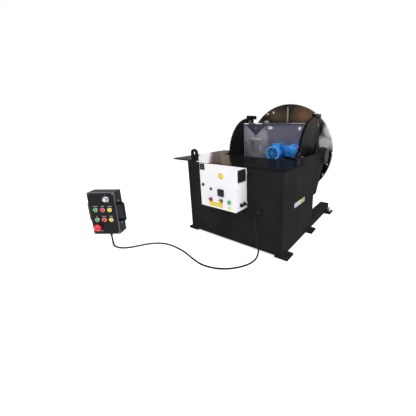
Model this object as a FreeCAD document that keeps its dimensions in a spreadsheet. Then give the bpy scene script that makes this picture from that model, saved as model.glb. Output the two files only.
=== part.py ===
"""Welding positioner: a floor-standing base, a geared tilting frame, a rotary table and a hand pendant.

Frame: millimetres, +Z up, +Y from the back of the base towards the table, +X to the right seen from behind.
The origin is on the floor at the centre of the four anchor holes of the base.
At rest the table stands upright and faces +Y.
"""

import FreeCAD, Part
import math
import os
import re
import Sketcher

Vector = FreeCAD.Vector
doc = FreeCAD.newDocument("WeldingPositioner")
sheet = doc.addObject("Spreadsheet::Sheet", "Sizes")

# Driving dimensions, in millimetres unless the name says teeth or share.
SIZES = {
    # base box
    "base_width": 1050,
    "base_depth": 690,
    "deck_height": 740,
    "side_plate": 25,
    "sheet_plate": 12,
    "floor_plate_thickness": 10,
    "deck_plate": 12,
    "deck_clearance": 4,
    "shelf_reach": 215,
    "shelf_forward": 130,
    "front_wall_height": 345,
    "arm_step_height": 370,
    "arm_step_reach": 80,
    "arm_rise": 42,
    "arm_start": 400,
    "left_arm_start": 665,
    "nose_radius": 90,
    # feet and legs
    "pad_length": 120,
    "pad_reach": 50,
    "pad_height": 20,
    "anchor_radius": 11,
    "leg_width": 100,
    "leg_height": 82,
    "leg_wall": 8,
    "leg_reach": 615,
    "leg_pad_length": 125,
    "leg_pad_reach": 60,
    "jack_radius": 12,
    "jack_rise": 40,
    # lifting lugs
    "lug_radius": 40,
    "lug_plate": 20,
    "lug_rise": 70,
    "lug_hole": 18,
    "lug_inset": 95,
    # tilting frame
    "axis_reach": 223,
    "axis_height": 745,
    "cheek_spread": 410,
    "cheek_plate": 25,
    "tilt_module": 5,
    "sector_teeth": 156,
    "tilt_pinion_teeth": 30,
    "tilt_pinion_drop": 232,
    "tilt_pinion_width": 35,
    "trunnion_radius": 45,
    "trunnion_boss": 80,
    "bearing_radius": 60,
    "bearing_flange": 84,
    "housing_depth": 40,
    "running_gap": 0.05,
    "back_plate_setback": 128,
    "back_plate_rise": 323,
    "saddle_plate": 16,
    "front_plate_offset": 122,
    "front_plate": 25,
    "front_plate_half": 290,
    "top_rail_width": 40,
    "stop_plate": 28,
    "stop_width": 50,
    "stop_back": 20,
    "stop_front": 130,
    "gusset_width": 278,
    "gusset_drop": 123,
    "gusset_plate": 8,
    "gusset_offset": 229,
    # slewing ring, drive and table
    "slew_module": 6,
    "slew_teeth": 80,
    "drive_teeth": 18,
    "drive_rise": 55,
    "drive_shaft_radius": 22,
    "slew_inner_bore": 165,
    "slew_race_radius": 200,
    "slew_height": 60,
    "hub_ring_height": 32,
    "table_radius": 550,
    "table_thickness": 45,
    "table_bore": 50,
    "slot_neck": 22,
    "slot_head": 38,
    "slot_head_depth": 18,
    "slot_lip": 18,
    "slot_start": 130,
    "slot_count": 8,
    "rib_plate": 12,
    "rib_height": 24,
    "rib_start": 300,
    "rib_end": 520,
    "gearbox_depth": 92,
    "gearbox_radius": 72,
    "gearmotor_spacing": 150,
    "motor_radius": 66,
    "motor_length": 118,
    "fan_cover_radius": 72,
    "fan_cover_length": 55,
    # tilt drive inside the base
    "tilt_shaft_radius": 30,
    "pinion_bearing_depth": 18,
    "pinion_bearing_flange": 8,
    "tilt_gearbox_radius": 70,
    "tilt_gearbox_width": 140,
    "tilt_gearbox_offset": 220,
    "tilt_gearbox_back": 190,
    "tilt_motor_length": 190,
    # control cabinet
    "cabinet_width": 380,
    "cabinet_height": 340,
    "cabinet_depth": 155,
    "cabinet_right": 188,
    "cabinet_drop": 10,
    "door_lip": 33,
    "cabinet_skin": 3,
    "cabinet_standoff": 6,
    "door_depth": 18,
    "hinge_radius": 7,
    "hinge_pin_radius": 4,
    "hinge_height": 30,
    "vent_side": 104,
    "vent_plate": 8,
    # pendant and its cable
    "pendant_width": 238,
    "pendant_height": 397,
    "pendant_depth": 110,
    "pendant_wall": 5,
    "face_plate": 4,
    "pendant_x": -925,
    "pendant_y": -1010,
    "pendant_lift": 108,
    "button_pitch": 63.5,
    "bezel_radius": 22,
    "bezel_height": 9,
    "button_radius": 17,
    "button_height": 13,
    "mushroom_radius": 33,
    "mushroom_height": 20,
    "knob_radius": 19,
    "knob_height": 24,
    "handle_plate": 16,
    "handle_bar": 14,
    "handle_foot": 26,
    "handle_corner": 16,
    "handle_length": 190,
    "handle_reach": 46,
    "cable_radius": 7,
    "cable_exit_x": 309,
    "cable_exit_height": 370,
}
for row, (name, value) in enumerate(SIZES.items(), start=1):
    sheet.set(f"A{row}", name)
    sheet.set(f"B{row}", str(value))
    sheet.setAlias(f"B{row}", name)
doc.recompute()

nodes = {}


def size(name):
    """The value of one cell of the sheet."""
    return float(sheet.get(name))


def bound(text):
    """An expression in which every name of a cell points at the sheet."""
    return re.sub(r"[a-z_]+", lambda word: f"Sizes.{word[0]}" if word[0] in SIZES else word[0], str(text))


def block(name, x, y, z):
    """A box between two expressions on each axis."""
    solid = doc.addObject("Part::Box", name)
    for axis, side, (low, high) in zip("xyz", ("Length", "Width", "Height"), (x, y, z)):
        solid.setExpression(side, bound(f"({high}) - ({low})"))
        solid.setExpression(f"Placement.Base.{axis}", bound(low))
    return solid


TURNS = {
    "x": FreeCAD.Rotation(Vector(0, 1, 0), 90),
    "y": FreeCAD.Rotation(Vector(1, 0, 0), -90),
    "z": FreeCAD.Rotation(),
}


def rod(name, radius, length, at, along):
    """A cylinder that starts at a point and runs along +X, +Y or +Z."""
    solid = doc.addObject("Part::Cylinder", name)
    solid.setExpression("Radius", bound(radius))
    solid.setExpression("Height", bound(length))
    solid.Placement = FreeCAD.Placement(Vector(), TURNS[along])
    for axis, place in zip("xyz", at):
        solid.setExpression(f"Placement.Base.{axis}", bound(place))
    return solid


def cone(name, radius, tip_radius, length, at, along):
    """A tapered round that starts at a point and runs along +X, +Y or +Z."""
    solid = doc.addObject("Part::Cone", name)
    solid.setExpression("Radius1", bound(radius))
    solid.setExpression("Radius2", bound(tip_radius))
    solid.setExpression("Height", bound(length))
    solid.Placement = FreeCAD.Placement(Vector(), TURNS[along])
    for axis, place in zip("xyz", at):
        solid.setExpression(f"Placement.Base.{axis}", bound(place))
    return solid


def joined(name, pieces):
    """One solid made of several."""
    result = doc.addObject("Part::MultiFuse", name)
    result.Shapes = pieces
    return result


def pierced(name, body, tools):
    """A solid with the tools cut out of it."""
    result = doc.addObject("Part::Cut", name)
    result.Base = body
    result.Tool = tools[0] if len(tools) == 1 else joined(name + "Tools", tools)
    return result


def together(name, pieces):
    """Several separate solids in one sub-part."""
    result = doc.addObject("Part::Compound", name)
    result.Links = pieces
    return result


def made(name, shape):
    """A sub-part whose shape is worked out below rather than by a feature."""
    result = doc.addObject("Part::Feature", name)
    result.Shape = shape
    return result


def node(label, thing):
    """Names a finished sub-part and puts it on the list of files."""
    thing.Label = label
    nodes[label] = thing
    return thing


def value_of(text):
    """The number that an expression of cell names gives now."""
    words = re.sub(r"[a-z_]+", lambda word: str(size(word[0])) if word[0] in SIZES else word[0], str(text))
    return float(sheet.evalExpression(words))


def plate(name, plane, offset, thickness, outline):
    """A flat plate: a closed sketch of straight lines, whose corners are expressions, padded along the plane's normal."""
    body = doc.addObject("PartDesign::Body", name)
    sketch = body.newObject("Sketcher::SketchObject", name + "Sketch")
    face = [item for item in body.Origin.OriginFeatures if item.Role == plane][0]
    sketch.AttachmentSupport = [(face, "")]
    sketch.MapMode = "FlatFace"
    sketch.setExpression("AttachmentOffset.Base.z", bound(offset))
    corners = [Vector(value_of(across), value_of(up), 0) for across, up in outline]
    for start, end in zip(corners, corners[1:] + corners[:1]):
        sketch.addGeometry(Part.LineSegment(start, end))
    for line in range(len(corners)):
        sketch.addConstraint(Sketcher.Constraint("Coincident", line, 2, (line + 1) % len(corners), 1))
    for line, (across, up) in enumerate(outline):
        for kind, place in (("DistanceX", across), ("DistanceY", up)):
            index = sketch.addConstraint(Sketcher.Constraint(kind, -1, 1, line, 1, value_of(place)))
            sketch.setExpression(f"Constraints[{index}]", bound(place))
    pad = body.newObject("PartDesign::Pad", name + "Pad")
    pad.Profile = sketch
    pad.setExpression("Length", bound(thickness))
    return body


# Toothed outlines: involute flanks with stub teeth, so that a small pinion runs clear.
PRESSURE = math.radians(20)
ADDENDUM = 0.8
DEDENDUM = 1.05
BACKLASH = 0.05


def tooth_half_angle(teeth, module, radius):
    """Half of the angle that one tooth takes at a radius."""
    pitch = teeth * module / 2
    base = pitch * math.cos(PRESSURE)
    lean = math.acos(base / max(radius, base))
    opening = math.tan(PRESSURE) - PRESSURE - math.tan(lean) + lean
    return math.pi / (2 * teeth) * (1 - BACKLASH) + opening


def tooth_points(teeth, module, centre):
    """The points of one tooth, from its first root to its last, as (radius, angle)."""
    pitch = teeth * module / 2
    radii = [pitch - DEDENDUM * module, pitch - 0.5 * module, pitch, pitch + ADDENDUM * module]
    rising = [(radius, centre - tooth_half_angle(teeth, module, radius)) for radius in radii]
    falling = [(radius, centre + tooth_half_angle(teeth, module, radius)) for radius in reversed(radii)]
    return rising + falling


def toothed_face(teeth, module, phase, place):
    """A full gear's outline as a face; place turns (radius, angle) into a point."""
    points = []
    for index in range(teeth):
        points += tooth_points(teeth, module, phase + 2 * math.pi * index / teeth)
    corners = [place(radius, angle) for radius, angle in points]
    return Part.Face(Part.makePolygon(corners + corners[:1]))


# --- places that several sub-parts share -------------------------------------------------
SIDES = {"left": -1, "right": 1}
REAR = "-base_depth / 2"
FRONT = "base_depth / 2"
DECK_UNDER = "(deck_height - deck_plate)"
FLOOR_TOP = "(pad_height + floor_plate_thickness)"
INNER_LEFT = "-base_width / 2 + side_plate"
INNER_RIGHT = "base_width / 2 - side_plate"
ARM_STARTS = {"left": "-base_depth / 2 + left_arm_start", "right": "-base_depth / 2 + arm_start"}
HALF = {"left": "-base_width / 2", "right": "base_width / 2"}
AXIS_Y = "(base_depth / 2 + axis_reach)"
TILT_CENTRES = "((sector_teeth + tilt_pinion_teeth) * tilt_module / 2)"
PINION_Y = f"({AXIS_Y} - sqrt({TILT_CENTRES} ^ 2 - tilt_pinion_drop ^ 2))"
PINION_Z = "(axis_height - tilt_pinion_drop)"
BACK_PLATE_Y = f"({AXIS_Y} - back_plate_setback)"
SECTOR_TIP = f"(sector_teeth * tilt_module / 2 + {ADDENDUM} * tilt_module)"
SADDLE_SIDE = "(cheek_spread - cheek_plate / 2)"
FRONT_PLATE_Y = f"({AXIS_Y} + front_plate_offset)"
RING_Y = f"({FRONT_PLATE_Y} + front_plate)"
HUB_Y = f"({RING_Y} + slew_height)"
TABLE_Y = f"({HUB_Y} + hub_ring_height)"
DRIVE_CENTRES = "((slew_teeth + drive_teeth) * slew_module / 2)"
DRIVE_X = f"sqrt({DRIVE_CENTRES} ^ 2 - drive_rise ^ 2)"
DRIVE_Z = "(axis_height + drive_rise)"


# --- base box ----------------------------------------------------------------------------
def side_plate(side):
    """A thick side wall whose upper part reaches forward as an arm with a round nose round the tilt bearing."""
    arm = ARM_STARTS[side]
    outline = [
        (REAR, "pad_height"),
        (FRONT, "pad_height"),
        (FRONT, "arm_step_height"),
        ("base_depth / 2 + arm_step_reach", "arm_step_height"),
        (f"{AXIS_Y} + 0.6 * nose_radius", "axis_height - 0.6 * nose_radius"),
        (f"{AXIS_Y}", "deck_height + arm_rise"),
        (arm, "deck_height + arm_rise"),
        (f"{arm} - arm_rise", DECK_UNDER),
        (REAR, DECK_UNDER),
    ]
    start = "-base_width / 2" if side == "left" else INNER_RIGHT
    at = (start, f"{AXIS_Y}", "axis_height")
    web = plate(f"SideWeb{side}", "YZ_Plane", start, "side_plate", outline)
    nose = rod(f"SideNose{side}", "nose_radius", "side_plate", at, "x")
    bore = rod(f"SideBore{side}", "bearing_radius", "side_plate", at, "x")
    return node(f"{side}_side_plate", pierced(f"Side{side}", joined(f"SideBlank{side}", [web, nose]), [bore]))


for side in SIDES:
    side_plate(side)

rear_bore_at = ("cable_exit_x", REAR, "cable_exit_height")
node("rear_wall", pierced("RearWall", block(
    "RearSheet", (INNER_LEFT, INNER_RIGHT), (REAR, f"{REAR} + sheet_plate"), (FLOOR_TOP, DECK_UNDER)),
    [rod("RearBore", "cable_radius + 3", "sheet_plate", rear_bore_at, "y")]))
node("front_wall", block(
    "FrontWall", (INNER_LEFT, INNER_RIGHT), (f"{FRONT} - sheet_plate", FRONT),
    (FLOOR_TOP, "pad_height + front_wall_height")))
node("floor_plate", block("FloorPlate", (INNER_LEFT, INNER_RIGHT), (REAR, FRONT), ("pad_height", FLOOR_TOP)))

# The deck is one plate that ends just clear of the sector stops, runs out over both side plates as far as
# their arms, and carries a shelf that overhangs on the left.
DECK_FRONT = f"({AXIS_Y} - {SECTOR_TIP} - stop_plate - deck_clearance)"
deck_z = (DECK_UNDER, "deck_height")
deck_pieces = [
    block("DeckMiddle", (INNER_LEFT, INNER_RIGHT), (REAR, DECK_FRONT), deck_z),
    block("DeckRight", (INNER_RIGHT, "base_width / 2"), (REAR, f"{ARM_STARTS['right']} - arm_rise"), deck_z),
    block("DeckLeft", ("-base_width / 2", INNER_LEFT), (REAR, f"{ARM_STARTS['left']} - arm_rise"), deck_z),
    block("DeckShelf", ("-base_width / 2 - shelf_reach", "-base_width / 2"), (REAR, f"{FRONT} + shelf_forward"), deck_z),
]
node("deck_plate", joined("Deck", deck_pieces))


def foot_pads():
    """Four flat pads under the side plates, each with one anchor hole outside the box."""
    pads = []
    for side, sign in SIDES.items():
        for end in (-1, 1):
            edge = f"{sign} * base_width / 2"
            inner = f"{edge} - {sign} * (pad_length - pad_reach)"
            outer = f"{edge} + {sign} * pad_reach"
            across = (outer, inner) if sign < 0 else (inner, outer)
            far = f"{end} * base_depth / 2"
            near = f"{far} - {end} * pad_length"
            along = (far, near) if end < 0 else (near, far)
            pad = block(f"Pad{side}{end}", across, along, ("0", "pad_height"))
            hole_at = (f"{edge} + {sign} * pad_reach / 2", f"{far} - {end} * pad_length / 2", "0")
            hole = rod(f"PadHole{side}{end}", "anchor_radius", "pad_height", hole_at, "z")
            pads.append(pierced(f"FootPad{side}{end}".replace("-", "m"), pad, [hole]))
    return node("foot_pads", together("FootPads", pads))


foot_pads()


LEG_END = f"({FRONT} + leg_reach)"
LEG_TOP = "(pad_height + leg_height)"


def leg_across(side, inner, outer):
    """The two X places of a piece between two distances inside the side plate's face, low one first."""
    near, far = f"base_width / 2 - ({inner})", f"base_width / 2 - ({outer})"
    return (near, far) if side == "right" else (f"-({far})", f"-({near})")


def jack_middle(side):
    """Where the jack screw of one leg stands: half way out on the part of the pad beside the leg."""
    return f"{SIDES[side]} * (base_width / 2 + leg_pad_reach / 2)"


def front_legs():
    """Two low box-section legs that run forward under the table, each on a foot pad that juts out to its side."""
    legs = []
    for side in SIDES:
        tube = block(f"LegTube{side}", leg_across(side, "leg_width", "0"), (FRONT, LEG_END), ("pad_height", LEG_TOP))
        hollow = block(
            f"LegHollow{side}", leg_across(side, "leg_width - leg_wall", "leg_wall"),
            (f"{FRONT} + leg_wall", f"{LEG_END} - leg_wall"), ("pad_height + leg_wall", f"{LEG_TOP} - leg_wall"))
        pad = block(f"LegPad{side}", leg_across(side, "leg_width", "-leg_pad_reach"),
                    (f"{LEG_END} - leg_pad_length", LEG_END), ("0", "pad_height"))
        screw_at = (jack_middle(side), f"{LEG_END} - leg_pad_length / 2", "0")
        hole = rod(f"LegHole{side}", "jack_radius", "pad_height", screw_at, "z")
        legs.append(pierced(f"Leg{side}", joined(f"LegBlank{side}", [tube, pad]), [hollow, hole]))
    return node("front_legs", together("FrontLegs", legs))


front_legs()


def levelling_feet():
    """A jack screw through each leg's pad, with its lock nut on the pad and a square head above it."""
    feet = []
    for side in SIDES:
        middle, forward = jack_middle(side), f"({LEG_END} - leg_pad_length / 2)"
        top = "pad_height + jack_rise"
        screw = rod(f"JackScrew{side}", "jack_radius", top, (middle, forward, "0"), "z")
        nut = rod(f"JackNut{side}", "jack_radius * 1.7", "jack_radius", (middle, forward, "pad_height"), "z")
        head = block(
            f"JackHead{side}", (f"{middle} - jack_radius * 0.8", f"{middle} + jack_radius * 0.8"),
            (f"{forward} - jack_radius * 0.8", f"{forward} + jack_radius * 0.8"), (top, f"{top} + jack_radius"))
        feet.append(joined(f"Jack{side}", [screw, nut, head]))
    return node("levelling_feet", together("LevellingFeet", feet))


levelling_feet()


def lug(name, middle, forward, foot, across):
    """An eye plate: a block with a round top and a shackle hole, standing along X or along Y."""
    half = "lug_plate / 2"
    wide = (f"{middle} - lug_radius", f"{middle} + lug_radius")
    thin = (f"{forward} - {half}", f"{forward} + {half}")
    if across == "y":
        wide, thin = (f"{middle} - {half}", f"{middle} + {half}"), (f"{forward} - lug_radius", f"{forward} + lug_radius")
    top = f"{foot} + lug_rise"
    web = block(f"{name}Web", wide, thin, (foot, top))
    start = (middle, f"{forward} - {half}", top) if across == "x" else (f"{middle} - {half}", forward, top)
    along = "y" if across == "x" else "x"
    eye = rod(f"{name}Eye", "lug_radius", "lug_plate", start, along)
    hole = rod(f"{name}Hole", "lug_hole", "lug_plate", start, along)
    return pierced(name, joined(f"{name}Blank", [web, eye]), [hole])


LUG_X = "base_width / 2 - lug_inset"
ARM_TOP = "deck_height + arm_rise"
node("lifting_lugs", together("LiftingLugs", [
    lug("LugRearLeft", f"-({LUG_X})", f"{REAR} + lug_plate / 2", "deck_height", "x"),
    lug("LugRearRight", "base_width / 2 - lug_plate / 2", f"{REAR} + arm_start - arm_rise - lug_inset",
        "deck_height", "y"),
    lug("LugFrontLeft", "-base_width / 2 + side_plate / 2", f"{AXIS_Y} - nose_radius - lug_inset", ARM_TOP, "y"),
    lug("LugFrontRight", "base_width / 2 - side_plate / 2", f"{AXIS_Y} - nose_radius - lug_inset", ARM_TOP, "y"),
]))


# --- tilt bearings -----------------------------------------------------------------------
def trunnion_bearings():
    """A flanged housing on the outside of each side plate with the bearing ring that fills its bore."""
    pieces = []
    for side, sign in SIDES.items():
        face = HALF[side]
        start = face if sign > 0 else f"{face} - housing_depth"
        ring_start = f"{face} - side_plate" if sign > 0 else face
        flange = rod(f"Flange{side}", "bearing_flange", "housing_depth / 2",
                     (face if sign > 0 else f"{face} - housing_depth / 2", f"{AXIS_Y}", "axis_height"), "x")
        barrel = rod(f"Barrel{side}", "bearing_flange - 14", "housing_depth", (start, f"{AXIS_Y}", "axis_height"), "x")
        room_start = face if sign > 0 else f"{face} - housing_depth + 6"
        room = rod(f"Room{side}", "bearing_radius", "housing_depth - 6",
                   (room_start, f"{AXIS_Y}", "axis_height"), "x")
        pieces.append(pierced(f"Housing{side}", joined(f"HousingBlank{side}", [flange, barrel]), [room]))
        ring = rod(f"Ring{side}", "bearing_radius", "side_plate", (ring_start, f"{AXIS_Y}", "axis_height"), "x")
        bore = rod(f"RingBore{side}", "trunnion_radius + running_gap", "side_plate",
                   (ring_start, f"{AXIS_Y}", "axis_height"), "x")
        pieces.append(pierced(f"BearingRing{side}", ring, [bore]))
    return node("trunnion_bearings", together("TrunnionBearings", pieces))


trunnion_bearings()


# --- tilting frame -----------------------------------------------------------------------
def sector(side):
    """A toothed cheek: teeth round its rear from above the axis to below it, and a straight front edge."""
    teeth, module = int(round(size("sector_teeth"))), size("tilt_module")
    pitch_angle = 2 * math.pi / teeth
    mesh = math.pi + math.asin(value_of("tilt_pinion_drop") / value_of(TILT_CENTRES))
    first = math.ceil((math.radians(95) - mesh) / pitch_angle)
    last = math.floor((math.radians(250) - mesh) / pitch_angle)
    tip = teeth * module / 2 + ADDENDUM * module
    rim = teeth * module / 2 - DEDENDUM * module
    middle = Vector(0, value_of(AXIS_Y), size("axis_height"))
    start = SIDES[side] * size("cheek_spread") - size("cheek_plate") / 2

    def place(radius, angle):
        return middle + Vector(start, radius * math.cos(angle), radius * math.sin(angle))

    points = []
    for index in range(first, last + 1):
        points += tooth_points(teeth, module, mesh + index * pitch_angle)
    corners = [place(radius, angle) for radius, angle in points]
    last_angle = points[-1][1]
    low_end = place(rim, last_angle)
    forward = middle.y + size("front_plate_offset")
    half_front = 0.75 * tip
    upper_front = middle.y + 0.21 * tip
    top_start = place(tip, math.acos(0.21))
    top_end = place(tip, points[0][1] - 0.01)
    top_middle = place(tip, (math.acos(0.21) + points[0][1]) / 2)
    edge = Part.makePolygon([
        low_end, Vector(middle.x + start, forward, middle.z - half_front),
        Vector(middle.x + start, forward, middle.z + half_front),
        Vector(middle.x + start, upper_front, middle.z + half_front), top_start])
    arc = Part.Arc(top_start, top_middle, top_end).toShape()
    wire = Part.Wire(edge.Edges + [arc] + Part.makePolygon([top_end] + corners).Edges)
    cheek = Part.Face(wire).extrude(Vector(size("cheek_plate"), 0, 0))
    boss_start = start + size("cheek_plate") if side == "right" else start - value_of(BOSS_LENGTH)
    boss_at = Vector(boss_start, middle.y, middle.z)
    boss = Part.makeCylinder(size("trunnion_boss"), value_of(BOSS_LENGTH), boss_at, Vector(1, 0, 0))
    bore = Part.makeCylinder(size("trunnion_radius"), 4 * size("cheek_spread"),
                             Vector(-2 * size("cheek_spread"), middle.y, middle.z), Vector(1, 0, 0))
    return node(f"{side}_sector", made(f"Sector{side}", cheek.fuse(boss).cut(bore).removeSplitter()))


BOSS_LENGTH = "(base_width / 2 - side_plate - 8 - cheek_spread - cheek_plate / 2)"
for side in SIDES:
    sector(side)

shafts = []
for side, sign in SIDES.items():
    inner = f"cheek_spread - cheek_plate / 2 - 60"
    outer = "base_width / 2 + housing_depth - 14"
    start = f"{inner}" if sign > 0 else f"-({outer})"
    shaft = rod(f"Trunnion{side}", "trunnion_radius", f"({outer}) - ({inner})", (start, f"{AXIS_Y}", "axis_height"), "x")
    collar_start = f"{inner}" if sign > 0 else f"-({inner}) - 60"
    collar = rod(f"Collar{side}", "trunnion_boss", "60", (collar_start, f"{AXIS_Y}", "axis_height"), "x")
    shafts.append(joined(f"TrunnionShaft{side}", [shaft, collar]))
node("trunnion_shafts", together("TrunnionShafts", shafts))

saddle_x = (f"-{SADDLE_SIDE}", SADDLE_SIDE)
node("saddle_back_plate", pierced("SaddleBack", block(
    "SaddleBackSheet", saddle_x, (BACK_PLATE_Y, f"{BACK_PLATE_Y} + saddle_plate"),
    ("axis_height - back_plate_rise + 20", "axis_height + back_plate_rise")),
    [rod("SaddleBackBore", "drive_shaft_radius + 4", "saddle_plate", (DRIVE_X, BACK_PLATE_Y, DRIVE_Z), "y")]))
node("saddle_top_rail", block(
    "SaddleTopRail", saddle_x, (f"{BACK_PLATE_Y} - 20", f"{BACK_PLATE_Y} - 20 + top_rail_width"),
    ("axis_height + back_plate_rise", "axis_height + back_plate_rise + 12")))
node("saddle_front_plate", pierced("SaddleFront", block(
    "SaddleFrontSheet", (f"-cheek_spread - cheek_plate / 2", f"cheek_spread + cheek_plate / 2"),
    (FRONT_PLATE_Y, RING_Y), ("axis_height - front_plate_half", "axis_height + front_plate_half")),
    [rod("SaddleFrontBore", "slew_inner_bore", "front_plate", ("0", FRONT_PLATE_Y, "axis_height"), "y"),
     rod("DriveBushBore", "drive_shaft_radius + running_gap", "front_plate", (DRIVE_X, FRONT_PLATE_Y, DRIVE_Z), "y")]))

stops = []
for side, sign in SIDES.items():
    middle = f"{sign} * cheek_spread"
    left = f"{middle} - stop_width / 2"
    bar = block(f"Stop{side}", (left, f"{middle} + stop_width / 2"), (f"{AXIS_Y} - stop_back", f"{AXIS_Y} + stop_front"),
                (f"axis_height + {SECTOR_TIP} - 16", f"axis_height + {SECTOR_TIP} + stop_plate"))
    rim = rod(f"StopRim{side}", SECTOR_TIP, "stop_width", (left, f"{AXIS_Y}", "axis_height"), "x")
    stops.append(pierced(f"StopBar{side}", bar, [rim]))
node("sector_stops", together("SectorStops", stops))

gusset = plate(
    "Gusset", "XZ_Plane", f"-{BACK_PLATE_Y}", "gusset_plate", [
        ("-gusset_offset - gusset_width / 2", "axis_height + back_plate_rise"),
        ("-gusset_offset + gusset_width / 2", "axis_height + back_plate_rise"),
        ("-gusset_offset", "axis_height + back_plate_rise - gusset_drop")])
node("lifting_gusset", pierced("LiftingGusset", gusset, [rod(
    "GussetHole", "16", "gusset_plate", ("-gusset_offset", f"{BACK_PLATE_Y} - gusset_plate",
                                         "axis_height + back_plate_rise - 40"), "y")]))
cover_y = (f"{BACK_PLATE_Y} - 3", BACK_PLATE_Y)
node("access_covers", together("AccessCovers", [
    block("CoverLeft", ("-gusset_offset - 82", "-gusset_offset - 1"), cover_y, ("axis_height + 15", "axis_height + 148")),
    block("CoverRight", ("-gusset_offset + 1", "-gusset_offset + 110"), cover_y, ("axis_height + 15", "axis_height + 148")),
    block("CoverRail", ("-gusset_offset - 82", "-gusset_offset + 110"), (f"{BACK_PLATE_Y} - 12", BACK_PLATE_Y),
          ("axis_height + 152", "axis_height + 160"))]))


# --- slewing ring, table and rotation drive ------------------------------------------------
AXIS = ("0", RING_Y, "axis_height")
node("slew_inner_ring", pierced(
    "SlewInner", rod("SlewInnerBlank", "slew_race_radius - running_gap", "slew_height - 3", AXIS, "y"),
    [rod("SlewInnerBore", "slew_inner_bore", "slew_height - 3", AXIS, "y")]))


def slew_gear():
    """The toothed outer ring of the slewing bearing, just clear of the front plate."""
    teeth, module = int(round(size("slew_teeth"))), size("slew_module")
    mesh = math.asin(value_of("drive_rise") / value_of(DRIVE_CENTRES))
    start = Vector(0, value_of(RING_Y) + 3, size("axis_height"))
    depth = size("slew_height") - 3

    def place(radius, angle):
        return start + Vector(radius * math.cos(angle), 0, radius * math.sin(angle))

    ring = toothed_face(teeth, module, mesh, place).extrude(Vector(0, depth, 0))
    race = Part.makeCylinder(size("slew_race_radius"), depth, start, Vector(0, 1, 0))
    return node("slew_gear_ring", made("SlewGear", ring.cut(race)))


def drive_pinion():
    """The small gear on the rotation drive's output shaft, which runs back through the saddle to the gearbox."""
    teeth, module = int(round(size("drive_teeth"))), size("slew_module")
    mesh = math.asin(value_of("drive_rise") / value_of(DRIVE_CENTRES)) + math.pi + math.pi / teeth
    start = Vector(value_of(DRIVE_X), value_of(RING_Y) + 3, value_of(DRIVE_Z))
    depth = size("slew_height") - 6

    def place(radius, angle):
        return start + Vector(radius * math.cos(angle), 0, radius * math.sin(angle))

    gear = toothed_face(teeth, module, mesh, place).extrude(Vector(0, depth, 0))
    back = value_of(BACK_PLATE_Y) - 20
    shaft = Part.makeCylinder(size("drive_shaft_radius"), start.y + depth - back,
                              Vector(start.x, back, start.z), Vector(0, 1, 0))
    return node("rotation_pinion", made("RotationPinion", gear.fuse(shaft)))


slew_gear()
drive_pinion()
node("table_hub_ring", pierced(
    "HubRing", rod("HubRingBlank", "slew_race_radius + 25", "hub_ring_height", ("0", HUB_Y, "axis_height"), "y"),
    [rod("HubRingBore", "slew_inner_bore", "hub_ring_height", ("0", HUB_Y, "axis_height"), "y")]))


def table_disc():
    """The round table: a centre bore, radial T-slots open at the rim and shallow centring grooves in its face."""
    blank = rod("TableBlank", "table_radius", "table_thickness", ("0", TABLE_Y, "axis_height"), "y")
    bore = rod("TableBore", "table_bore", "table_thickness", ("0", TABLE_Y, "axis_height"), "y")
    doc.recompute()
    face = value_of(TABLE_Y) + size("table_thickness")
    middle = Vector(0, face, size("axis_height"))
    reach = size("table_radius") - size("slot_start") + 5
    cuts = []
    for index in range(int(round(size("slot_count")))):
        neck = Part.makeBox(size("slot_neck"), size("slot_lip") + 1, reach,
                            Vector(-size("slot_neck") / 2, -size("slot_lip"), size("slot_start")))
        head = Part.makeBox(size("slot_head"), size("slot_head_depth"), reach,
                            Vector(-size("slot_head") / 2, -size("slot_lip") - size("slot_head_depth"), size("slot_start")))
        slot = neck.fuse(head)
        slot.rotate(Vector(), Vector(0, 1, 0), 360 * index / size("slot_count"))
        slot.translate(middle)
        cuts.append(slot)
    for share in (0.35, 0.55, 0.75, 0.93):
        radius = share * size("table_radius")
        outer = Part.makeCylinder(radius + 1.5, 2, middle - Vector(0, 2, 0), Vector(0, 1, 0))
        inner = Part.makeCylinder(radius - 1.5, 2, middle - Vector(0, 2, 0), Vector(0, 1, 0))
        cuts.append(outer.cut(inner))
    shape = blank.Shape.cut(bore.Shape).cut(cuts)
    return node("table_disc", made("TableDisc", shape))


table_disc()


def table_ribs():
    """Flat bars welded radially to the table's back, one behind each slot."""
    depth = size("rib_height")
    root = Vector(0, value_of(TABLE_Y) - depth, size("axis_height"))
    ribs = []
    for index in range(int(round(size("slot_count")))):
        rib = Part.makeBox(size("rib_plate"), depth, size("rib_end") - size("rib_start"),
                           Vector(-size("rib_plate") / 2, 0, size("rib_start")))
        rib.rotate(Vector(), Vector(0, 1, 0), 360 * index / size("slot_count"))
        rib.translate(root)
        ribs.append(rib)
    return node("table_ribs", made("TableRibs", Part.makeCompound(ribs)))


table_ribs()


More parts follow.
